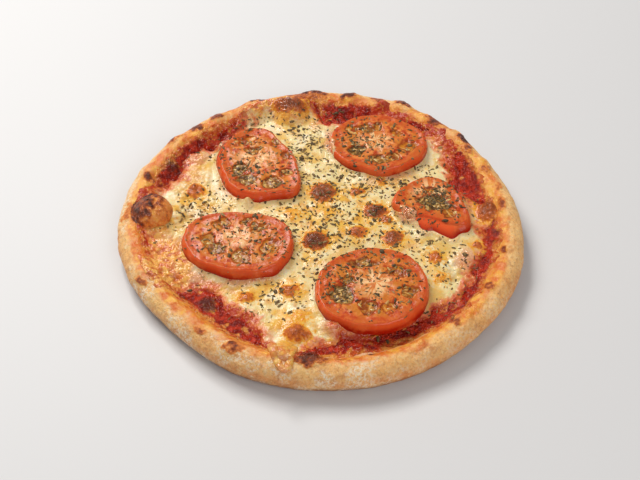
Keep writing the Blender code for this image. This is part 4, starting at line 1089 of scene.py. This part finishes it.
def scatter(name, template, faces, x, y, size, tilt, sink, seed):
    """Copies of a small closed template, sized, turned and tilted with the ground, joined into one mesh."""
    dice = np.random.default_rng(seed)
    count = len(x)
    z = ground_height(x, y)
    step = SLOPE_STEP
    slope_x = (ground_height(x + step, y) - ground_height(x - step, y)) / (2 * step)
    slope_y = (ground_height(x, y + step) - ground_height(x, y - step)) / (2 * step)
    slopes = np.clip(np.stack([slope_x, slope_y], axis=1), -STEEPEST, STEEPEST)
    up = np.concatenate([-slopes, np.ones((count, 1))], axis=1)
    up[:, :2] += dice.normal(0, tilt, (count, 2))
    up /= np.linalg.norm(up, axis=1)[:, None]
    spin = dice.uniform(0, 2 * math.pi, count)
    along = np.stack([np.cos(spin), np.sin(spin), np.zeros(count)], axis=1)
    along -= up * np.sum(along * up, axis=1)[:, None]
    along /= np.linalg.norm(along, axis=1)[:, None]
    across = np.cross(up, along)
    local = template(dice, count) * size[:, None, :]
    placed = local[..., 0:1] * along[:, None] + local[..., 1:2] * across[:, None]
    placed = placed + local[..., 2:3] * up[:, None]
    middle = np.stack([x, y, z - sink], axis=1)
    vertices = (placed + middle[:, None]).reshape(-1, 3)
    corners = local.shape[1]
    offset = corners * np.arange(count)[:, None, None]
    index = [(block[None] + offset).reshape(-1, block.shape[1]) for block in faces]
    tint = np.repeat(dice.random(count), corners)
    return to_piece(name, vertices, index, None, {"tint": tint})


# %% [markdown]
# A dried herb flake is a thin, curled, twisted scrap of leaf, and a stalk is a narrow sliver of the same
# make. They fell in soft heaps: each row of the list is a heap's middle, its spread and how much fell.

# %% Herbs
FLAKE_SECTIONS = 5
FLAKE_HALF_THICKNESS = 0.1
HERB_REACH = 84.0
HERB_HEAPS = (
    (8, 4, 20, 20, 170), (-8, 56, 7, 12, 50), (-3, 30, 8, 12, 20), (-18, -50, 10, 6, 24),
    (48, -12, 14, 10, 40), (-60, 9, 9, 6, 24), (30, 26, 18, 7, 34), (-36, 42, 14, 18, 90),
    (30, 57, 18, 15, 75), (-40, -15, 18, 12, 80), (24, -42, 18, 15, 95), (59, 12, 10, 8, 40),
    (60, 13, 5, 3.5, 26), (9, -45, 4, 6, 24), (3, 82, 7, 4, 12), (10, 84, 4, 4, 8), (-28, 74, 8, 3, 8),
    (57, 37, 4, 3, 8), (66, -30, 8, 10, 12), (-38, 30, 6, 4, 12), (20, 52, 5, 4, 16), (-78, -3, 5, 5, 6),
    (0, 0, 55, 55, 40),
)


def flake_template(dice, count):
    """A curled, twisted scrap of unit length: four-cornered sections on an arc, widest in the middle."""
    t = np.linspace(-0.5, 0.5, FLAKE_SECTIONS)
    width = 0.5 * (0.3 + 0.7 * np.cos(t * 2.4))
    curl = dice.uniform(-0.1, 1.4, (count, 1))
    twist = dice.uniform(-1.0, 1.0, (count, 1)) * t * 1.6
    skew = dice.uniform(-0.35, 0.35, (count, FLAKE_SECTIONS))
    z = curl * (0.25 - t**2) * 1.2
    half = width * (1 + 0.5 * skew)
    sides = []
    for side, level in ((-1, -1), (1, -1), (1, 1), (-1, 1)):
        corner_x = t + 0.1 * side * skew
        corner_y = side * half * np.cos(twist) + 0.3 * skew
        corner_z = z + side * half * np.sin(twist) + level * FLAKE_HALF_THICKNESS
        sides.append(np.stack([corner_x, corner_y, corner_z], axis=-1))
    return np.stack(sides, axis=2).reshape(count, -1, 3)


def strip_faces(sections):
    """Faces of a closed strip whose sections have four corners each."""
    blocks = []
    for section in range(sections - 1):
        low = 4 * section
        for corner in range(4):
            following = (corner + 1) % 4
            blocks.append((low + corner, low + 4 + corner, low + 4 + following, low + following))
    last = 4 * (sections - 1)
    blocks.append((0, 1, 2, 3))
    blocks.append((last + 3, last + 2, last + 1, last))
    return [np.array(blocks)]


def herb_places(seed, share):
    """Random places in soft heaps, the bell curve of each heap cut where bare crust begins."""
    dice = np.random.default_rng(seed)
    places = []
    for x, y, spread_x, spread_y, count in HERB_HEAPS:
        amount = max(1, int(count * share))
        places.append([dice.normal(x, spread_x, amount), dice.normal(y, spread_y, amount)])
    x, y = np.concatenate(places, axis=1)
    kept = np.hypot(x, y) < HERB_REACH
    clear = np.hypot(x - BUBBLE[0], y - BUBBLE[1]) > BUBBLE_RADIUS + 1
    return x[kept & clear], y[kept & clear], dice


flake_faces = strip_faces(FLAKE_SECTIONS)
herb_x, herb_y, dice = herb_places(7, 2.4)
lengths = np.clip(dice.lognormal(0.36, 0.44, len(herb_x)), 0.6, 2.8)
widths = lengths * dice.uniform(0.25, 0.62, len(herb_x))
herb_size = np.stack([lengths, widths, 0.4 + 0.25 * lengths], axis=1)
herb_flakes = scatter("herb_flakes", flake_template, flake_faces, herb_x, herb_y, herb_size, tilt=0.16,
                      sink=0.02, seed=71)
stalk_x, stalk_y, dice = herb_places(19, 1.1)
lengths = dice.uniform(0.6, 2.6, len(stalk_x))
widths = dice.uniform(0.35, 0.6, len(stalk_x))
stalk_size = np.stack([lengths, widths, np.full(len(stalk_x), 0.8)], axis=1)
herb_stalks = scatter("herb_stalks", flake_template, flake_faces, stalk_x, stalk_y, stalk_size, tilt=0.12,
                      sink=0.0, seed=73)

# %% [markdown]
# Seeds sit in the sunken pockets of the slices: flat, pale drops, two to three millimetres long. Larger
# and darker pockets hold more of them.

# %% Seeds
SEED_SIDES = 6
SEED_RINGS = ((-0.5, 0.02), (-0.3, 0.22), (0.02, 0.34), (0.32, 0.24), (0.5, 0.03))


def seed_template(dice, count):
    """A flat drop, the same for every seed: rings of six corners between two pointed ends."""
    angle = np.arange(SEED_SIDES) * (2 * math.pi / SEED_SIDES)
    place, radius = np.array(SEED_RINGS).T[:, :, None]
    rings = np.stack([place + 0 * angle, radius * np.cos(angle), 0.6 * radius * np.sin(angle)], axis=-1)
    shape = np.concatenate([[[-0.52, 0, 0]], rings.reshape(-1, 3), [[0.52, 0, 0]]])
    return np.tile(shape, (count, 1, 1))


def seed_places(seed):
    """A few random places in every seed pocket."""
    dice = np.random.default_rng(seed)
    places = []
    for row in SLICES.values():
        for x, y, half_x, half_y, _, olive in row["pockets"]:
            amount = int(round(half_x * half_y * (0.12 + 0.12 * olive)))
            places.append([dice.normal(x, half_x * 0.42, amount), dice.normal(y, half_y * 0.42, amount)])
    x, y = np.concatenate(places, axis=1)
    return x, y, dice


seed_x, seed_y, dice = seed_places(5)
seed_spans = ((2.2, 3.1), (2.0, 2.6), (1.2, 1.8))
seed_size = np.stack([dice.uniform(least, most, len(seed_x)) for least, most in seed_spans], axis=1)
seed_faces = [block[:, ::-1] for block in turned_faces(len(SEED_RINGS), SEED_SIDES)]
seeds = scatter("tomato_seeds", seed_template, seed_faces, seed_x, seed_y, seed_size, tilt=0.12,
                sink=0.12, seed=75)

# %% [markdown]
# The finishes are procedural. Each starts as two tones and then gets coat after coat: a coat is a colour
# that covers what is under it where a value kept on the vertices is high, or where a fine noise in the
# object's own coordinates is. The noise adds what is smaller than the mesh.

# %% Finish helpers
def attribute(tree, name):
    """The output that reads a value kept on the vertices."""
    node = tree.nodes.new("ShaderNodeAttribute")
    node.attribute_name = name
    return node.outputs["Fac"]


def noise(tree, size_mm, detail=3.0, rough=0.55):
    """Noise whose grain is about size_mm, read in object coordinates; its Fac output."""
    place = tree.nodes.new("ShaderNodeTexCoord")
    grain = tree.nodes.new("ShaderNodeTexNoise")
    grain.inputs["Scale"].default_value = 1000.0 / size_mm
    grain.inputs["Detail"].default_value = detail
    grain.inputs["Roughness"].default_value = rough
    tree.links.new(place.outputs["Object"], grain.inputs["Vector"])
    return grain.outputs["Fac"]


def ramp(tree, source, stops):
    """A colour ramp over (position, screen colour) stops."""
    node = tree.nodes.new("ShaderNodeValToRGB")
    bar = node.color_ramp
    for index, (position, colour) in enumerate(stops):
        element = bar.elements[index] if index < 2 else bar.elements.new(position)
        element.position = position
        element.color = srgb(*colour)
    tree.links.new(source, node.inputs["Fac"])
    return node.outputs["Color"]


def steer(tree, source, low, high, start=0.0, end=1.0):
    """Maps source from low..high to start..end along an S-curve, held at both ends."""
    node = tree.nodes.new("ShaderNodeMapRange")
    node.interpolation_type = "SMOOTHSTEP"
    node.inputs["From Min"].default_value = low
    node.inputs["From Max"].default_value = high
    node.inputs["To Min"].default_value = start
    node.inputs["To Max"].default_value = end
    tree.links.new(source, node.inputs["Value"])
    return node.outputs["Result"]


def plug(tree, value, socket):
    """Links an output to a socket, or sets the socket where the value is a constant."""
    if isinstance(value, bpy.types.NodeSocket):
        tree.links.new(value, socket)
    else:
        socket.default_value = value


def mix(tree, share, first, second):
    """Colour mix of first and second by share; a colour is an output or a screen colour."""
    node = tree.nodes.new("ShaderNodeMix")
    node.data_type = "RGBA"
    plug(tree, share, node.inputs["Factor"])
    for colour, socket in ((first, node.inputs[6]), (second, node.inputs[7])):
        plug(tree, srgb(*colour) if isinstance(colour, tuple) else colour, socket)
    return node.outputs[2]


def two_tone(tree, source, low, high, first, second):
    """Turns from the first colour to the second as source goes from low to high."""
    return mix(tree, steer(tree, source, low, high), first, second)


def coat(tree, base, source, low, high, most, colour):
    """Lays a colour over base: not at all where source is low, and by the share most where it is high."""
    return mix(tree, steer(tree, source, low, high, 0.0, most), base, colour)


def reckon(tree, operation, first, second):
    """One calculation on two numbers or outputs."""
    node = tree.nodes.new("ShaderNodeMath")
    node.operation = operation
    plug(tree, first, node.inputs[0])
    plug(tree, second, node.inputs[1])
    return node.outputs["Value"]


def times(tree, first, second):
    """The product of two numbers or outputs."""
    return reckon(tree, "MULTIPLY", first, second)


def frayed(tree, name, grain_mm, detail, rough, reach):
    """A value kept on the vertices, moved up or down by reach with a noise, so that its borders fray."""
    waver = steer(tree, noise(tree, grain_mm, detail, rough), 0.3, 0.7, -reach, reach)
    return reckon(tree, "ADD", attribute(tree, name), waver)


def toasted(tree, base, grain_mm, low, high, browns):
    """Browns base by its toast value: the ramp runs from golden to nearly black."""
    share = frayed(tree, "toast", grain_mm, 4, 0.7, 0.16)
    return mix(tree, steer(tree, share, low, high), base, ramp(tree, share, browns))


def bump(tree, shader, source, depth_mm, strength=0.6):
    """Fine relief below the mesh's own grain."""
    node = tree.nodes.new("ShaderNodeBump")
    node.inputs["Strength"].default_value = strength
    node.inputs["Distance"].default_value = depth_mm * MM
    tree.links.new(source, node.inputs["Height"])
    tree.links.new(node.outputs["Normal"], shader.inputs["Normal"])


def translucent(shader, weight, radii_mm):
    """Light that enters the food and comes out coloured a little further on."""
    shader.inputs["Subsurface Weight"].default_value = weight
    shader.inputs["Subsurface Radius"].default_value = [radius * MM for radius in radii_mm]
    shader.inputs["Subsurface Scale"].default_value = 1.0


# %% [markdown]
# Baked dough runs from pale straw to brown where it toasted. Its upper side is painted paler, partly
# the bake's pale colour and partly painted light, and its foot darker, partly the bake's brown and partly
# painted shade. The inner band of the rim is stained yellow and orange by oil and melted cheese, and is
# shiny there, with pale streaks in the oil that are painted highlights.

# %% Dough finish
# The palest stops are the golden colour of lightly toasted dough, made lighter still as painted light on the
# bubble's shaded right side.
DOUGH_BROWNS = (
    (0.0, (255, 196, 104)), (0.3, (238, 138, 54)), (0.55, (172, 78, 28)), (0.78, (112, 48, 20)),
    (1.0, (66, 28, 14)),
)
dough_finish, tree, shader = new_material("baked_dough")
grain = noise(tree, 1.6, 4, 0.65)
base = two_tone(tree, noise(tree, 16, 4), 0.38, 0.62, (248, 190, 120), (232, 150, 80))
# Painted light together with the bake's pale straw: the upper side of the rim turns paler.
base = coat(tree, base, attribute(tree, "lit_pale_shoulder"), 0.1, 1.0, 0.6, (255, 200, 120))
base = coat(tree, base, grain, 0.45, 0.7, 0.6, (252, 218, 160))
base = coat(tree, base, noise(tree, 5, 6, 0.75), 0.5, 0.68, 0.7, (200, 122, 58))
base = coat(tree, base, noise(tree, 1.3, 4, 0.7), 0.52, 0.62, 0.5, (198, 124, 62))
# Painted shade together with the bake's brown: the rim turns darker towards its foot.
base = coat(tree, base, attribute(tree, "low"), 0.0, 0.9, 0.92, (152, 86, 44))
floured = times(tree, steer(tree, noise(tree, 1.5, 5, 0.8), 0.45, 0.58), attribute(tree, "floury"))
base = mix(tree, times(tree, floured, 0.92), base, (252, 232, 202))
oil = two_tone(tree, noise(tree, 6, 5, 0.65), 0.34, 0.6, (254, 184, 66), (228, 108, 20))
# Pale streaks in the oil are painted highlights.
oil = coat(tree, oil, noise(tree, 2.4, 4, 0.65), 0.5, 0.7, 0.42, (254, 214, 124))
base = coat(tree, base, attribute(tree, "oily"), 0.15, 0.75, 0.92, oil)
base = toasted(tree, base, 2.2, 0.06, 0.28, DOUGH_BROWNS)
plug(tree, base, shader.inputs["Base Color"])
wet = reckon(tree, "MAXIMUM", attribute(tree, "oily"), attribute(tree, "toast"))
plug(tree, steer(tree, wet, 0.1, 0.8, 0.6, 0.28), shader.inputs["Roughness"])
translucent(shader, 0.12, (3.0, 1.5, 0.7))
relief = reckon(tree, "ADD", grain, times(tree, noise(tree, 3.4, 4, 0.65), 1.6))
deeper = reckon(tree, "ADD", 1.0, times(tree, attribute(tree, "toast"), 1.5))
bump(tree, shader, times(tree, relief, deeper), 0.8, 0.85)
crust.data.materials.append(dough_finish)

# %% [markdown]
# Cooked sauce is deep red and wet. Near the rim oil and cheese stirred into it make it orange, and the
# tips of its lumps dried and burnt.

# %% Sauce finish
sauce_finish, tree, shader = new_material("tomato_sauce")
base = two_tone(tree, noise(tree, 3.0, 4, 0.6), 0.36, 0.64, (134, 19, 6), (208, 56, 24))
stirred = two_tone(tree, noise(tree, 3.6, 4, 0.65), 0.4, 0.62, (214, 92, 36), (246, 168, 78))
base = coat(tree, base, attribute(tree, "mixed"), 0.3, 0.9, 0.9, stirred)
base = coat(tree, base, frayed(tree, "burnt", 2, 3, 0.55, 0.15), 0.2, 0.9, 0.9, (96, 34, 22))
plug(tree, base, shader.inputs["Base Color"])
plug(tree, steer(tree, noise(tree, 4, 3), 0.3, 0.7, 0.08, 0.26), shader.inputs["Roughness"])
shader.inputs["Specular IOR Level"].default_value = 0.4
translucent(shader, 0.08, (3.0, 0.6, 0.2))
bump(tree, shader, reckon(tree, "ADD", noise(tree, 3.0, 2), noise(tree, 1.4, 3)), 2.0, 1.0)
sauce.data.materials.append(sauce_finish)

# %% [markdown]
# Melted cheese is cream, with golden zones where it fried in its own fat, pink ones where it is thin over
# the sauce, and a ring of orange round every browned blister. It is the most translucent layer. Towards
# its edge the film turns blush, then orange, then the red of the sauce under it.

# %% Cheese finish
CHEESE_BROWNS = (
    (0.0, (246, 198, 78)), (0.24, (240, 166, 48)), (0.42, (212, 112, 40)), (0.66, (168, 86, 40)),
    (1.0, (110, 56, 32)),
)
cheese_finish, tree, shader = new_material("melted_cheese")
base = two_tone(tree, noise(tree, 12, 3, 0.5), 0.4, 0.62, (241, 220, 162), (228, 188, 108))
base = coat(tree, base, noise(tree, 7, 2), 0.5, 0.66, 0.7, (245, 232, 192))
gold_share = times(tree, attribute(tree, "gold"), steer(tree, noise(tree, 6, 3, 0.5), 0.36, 0.6, 0.2, 1.0))
oil = two_tone(tree, noise(tree, 4, 3), 0.42, 0.62, (240, 184, 72), (214, 142, 38))
base = coat(tree, base, gold_share, 0.05, 0.62, 0.88, oil)
ember = two_tone(tree, noise(tree, 3.2, 4, 0.6), 0.42, 0.6, (250, 184, 92), (218, 98, 36))
blush = two_tone(tree, attribute(tree, "gold"), 0.2, 0.8, (230, 144, 102), ember)
base = coat(tree, base, attribute(tree, "pink"), 0.15, 0.95, 0.78, blush)
film = frayed(tree, "thin", 4.0, 3, 0.6, 0.16)
film = reckon(tree, "SUBTRACT", film, times(tree, attribute(tree, "gold"), 0.42))
base = coat(tree, base, film, 0.16, 0.5, 0.85, blush)
base = coat(tree, base, film, 0.42, 0.72, 0.85, (222, 108, 52))
base = coat(tree, base, film, 0.7, 0.92, 0.95, (184, 54, 24))
base = coat(tree, base, attribute(tree, "flecks"), 0.3, 0.9, 0.75, (198, 86, 46))
base = toasted(tree, base, 1.8, 0.03, 0.26, CHEESE_BROWNS)
plug(tree, base, shader.inputs["Base Color"])
rough = steer(tree, noise(tree, 5, 3), 0.3, 0.7, 0.2, 0.36)
rough = reckon(tree, "SUBTRACT", rough, times(tree, attribute(tree, "pink"), 0.1))
plug(tree, rough, shader.inputs["Roughness"])
plug(tree, steer(tree, attribute(tree, "pink"), 0.2, 1.0, 0.36, 0.75), shader.inputs["Specular IOR Level"])
translucent(shader, 0.25, (3.0, 1.8, 0.8))
relief = reckon(tree, "ADD", noise(tree, 1.8, 2), noise(tree, 3.5, 2))
sharp = reckon(tree, "MAXIMUM", attribute(tree, "thin"), attribute(tree, "toast"))
sharp = reckon(tree, "MAXIMUM", sharp, times(tree, attribute(tree, "pink"), 0.9))
sharp = reckon(tree, "ADD", sharp, 0.18)
bump(tree, shader, times(tree, relief, sharp), 1.1, 0.95)
cheese.data.materials.append(cheese_finish)
strand.data.materials.append(cheese_finish)

# %% [markdown]
# Tomato: red, shiny skin, painted lighter near the top of its side and darker towards the bottom as painted
# light and shade; an orange-red wall with fine fibres; a paler core with streaks that run out from it; and
# pockets of brownish-gold jelly, some of them murky with seeds and herbs.

# %% Tomato finish
def streaks(tree, fineness, stretch):
    """Noise drawn out along lines that run from the core: it reads the bearing, and the distance weakly."""
    spot = tree.nodes.new("ShaderNodeCombineXYZ")
    for name, scale, axis in (("ray_x", fineness, "X"), ("ray_y", fineness, "Y"), ("ray_out", stretch, "Z")):
        tree.links.new(times(tree, attribute(tree, name), scale), spot.inputs[axis])
    grain = tree.nodes.new("ShaderNodeTexNoise")
    grain.inputs["Scale"].default_value = 1.0
    grain.inputs["Detail"].default_value = 3.0
    tree.links.new(spot.outputs["Vector"], grain.inputs["Vector"])
    return grain.outputs["Fac"]


tomato_finish, tree, shader = new_material("tomato")
base = two_tone(tree, noise(tree, 2.6, 4, 0.65), 0.36, 0.64, (178, 54, 16), (236, 136, 60))
base = coat(tree, base, noise(tree, 7, 3), 0.44, 0.6, 0.75, (210, 128, 44))
base = coat(tree, base, attribute(tree, "wall"), 0.0, 1.0, 0.6, (204, 76, 28))
base = coat(tree, base, attribute(tree, "core"), 0.3, 1.0, 0.55, (230, 142, 74))
rays = times(tree, steer(tree, streaks(tree, 2.6, 0.12), 0.44, 0.56), attribute(tree, "core"))
rays = times(tree, rays, steer(tree, noise(tree, 4.5, 4, 0.6), 0.32, 0.5))
base = mix(tree, times(tree, rays, 0.95), base, (250, 202, 144))
jelly = two_tone(tree, noise(tree, 2.6, 3), 0.4, 0.62, (156, 62, 8), (220, 134, 34))
murky = two_tone(tree, noise(tree, 1.8, 3), 0.4, 0.6, (72, 50, 20), (156, 112, 50))
jelly = mix(tree, attribute(tree, "olive"), jelly, murky)
jelly = coat(tree, jelly, streaks(tree, 9.0, 0.1), 0.55, 0.66, 0.7, (238, 190, 112))
base = coat(tree, base, attribute(tree, "pocket"), 0.04, 0.3, 0.8, (158, 56, 14))
base = coat(tree, base, attribute(tree, "pocket"), 0.3, 0.8, 0.94, jelly)
# Painted light and shade: the skin is lighter at the top of the side and darker towards the bottom.
skin_colour = two_tone(tree, attribute(tree, "painted_side_shade"), 0.05, 0.8, (234, 94, 44), (176, 32, 8))
skin_colour = coat(tree, skin_colour, noise(tree, 8, 4, 0.6), 0.46, 0.64, 0.5, (238, 122, 62))
base = coat(tree, base, attribute(tree, "skin"), 0.1, 0.9, 1.0, skin_colour)
plug(tree, base, shader.inputs["Base Color"])
plug(tree, steer(tree, attribute(tree, "skin"), 0.0, 1.0, 0.27, 0.16), shader.inputs["Roughness"])
shader.inputs["Specular IOR Level"].default_value = 0.27
translucent(shader, 0.12, (4.0, 1.0, 0.3))
wet = reckon(tree, "ADD", noise(tree, 1.4, 3), noise(tree, 3.0, 3))
calm = reckon(tree, "SUBTRACT", 1.0, times(tree, attribute(tree, "skin"), 0.9))
bump(tree, shader, times(tree, wet, calm), 0.2)
for piece in slice_pieces:
    piece.data.materials.append(tomato_finish)

# %% [markdown]
# A seed is pale gold, each one a little lighter or darker than the next, with a freckled, wet skin.

# %% Seed finish
seed_finish, tree, shader = new_material("tomato_seed")
base = mix(tree, attribute(tree, "tint"), (232, 196, 120), (206, 150, 74))
base = coat(tree, base, noise(tree, 0.8, 2), 0.4, 0.7, 0.5, (190, 120, 56))
plug(tree, base, shader.inputs["Base Color"])
shader.inputs["Roughness"].default_value = 0.3
translucent(shader, 0.2, (1.5, 0.8, 0.4))
seeds.data.materials.append(seed_finish)

# %% [markdown]
# Dried herbs are dull: olive brown leaf scraps, some almost black, and straw-coloured stalks.

# %% Herb finish
LEAF_COLOURS = ((0.0, (46, 34, 16)), (0.5, (80, 58, 28)), (0.82, (120, 92, 48)), (1.0, (168, 136, 84)))
STALK_COLOURS = ((0.0, (72, 54, 30)), (0.5, (124, 98, 54)), (1.0, (196, 166, 112)))


def herb_finish(name, stops):
    """A dull leaf colour that changes from flake to flake, with a fine vein noise."""
    material, tree, shader = new_material(name)
    leaf = ramp(tree, attribute(tree, "tint"), stops)
    leaf = coat(tree, leaf, noise(tree, 0.6, 3), 0.35, 0.7, 0.5, (134, 110, 62))
    plug(tree, leaf, shader.inputs["Base Color"])
    shader.inputs["Roughness"].default_value = 0.7
    return material


herb_flakes.data.materials.append(herb_finish("leaf_scraps", LEAF_COLOURS))
herb_stalks.data.materials.append(herb_finish("leaf_stalks", STALK_COLOURS))
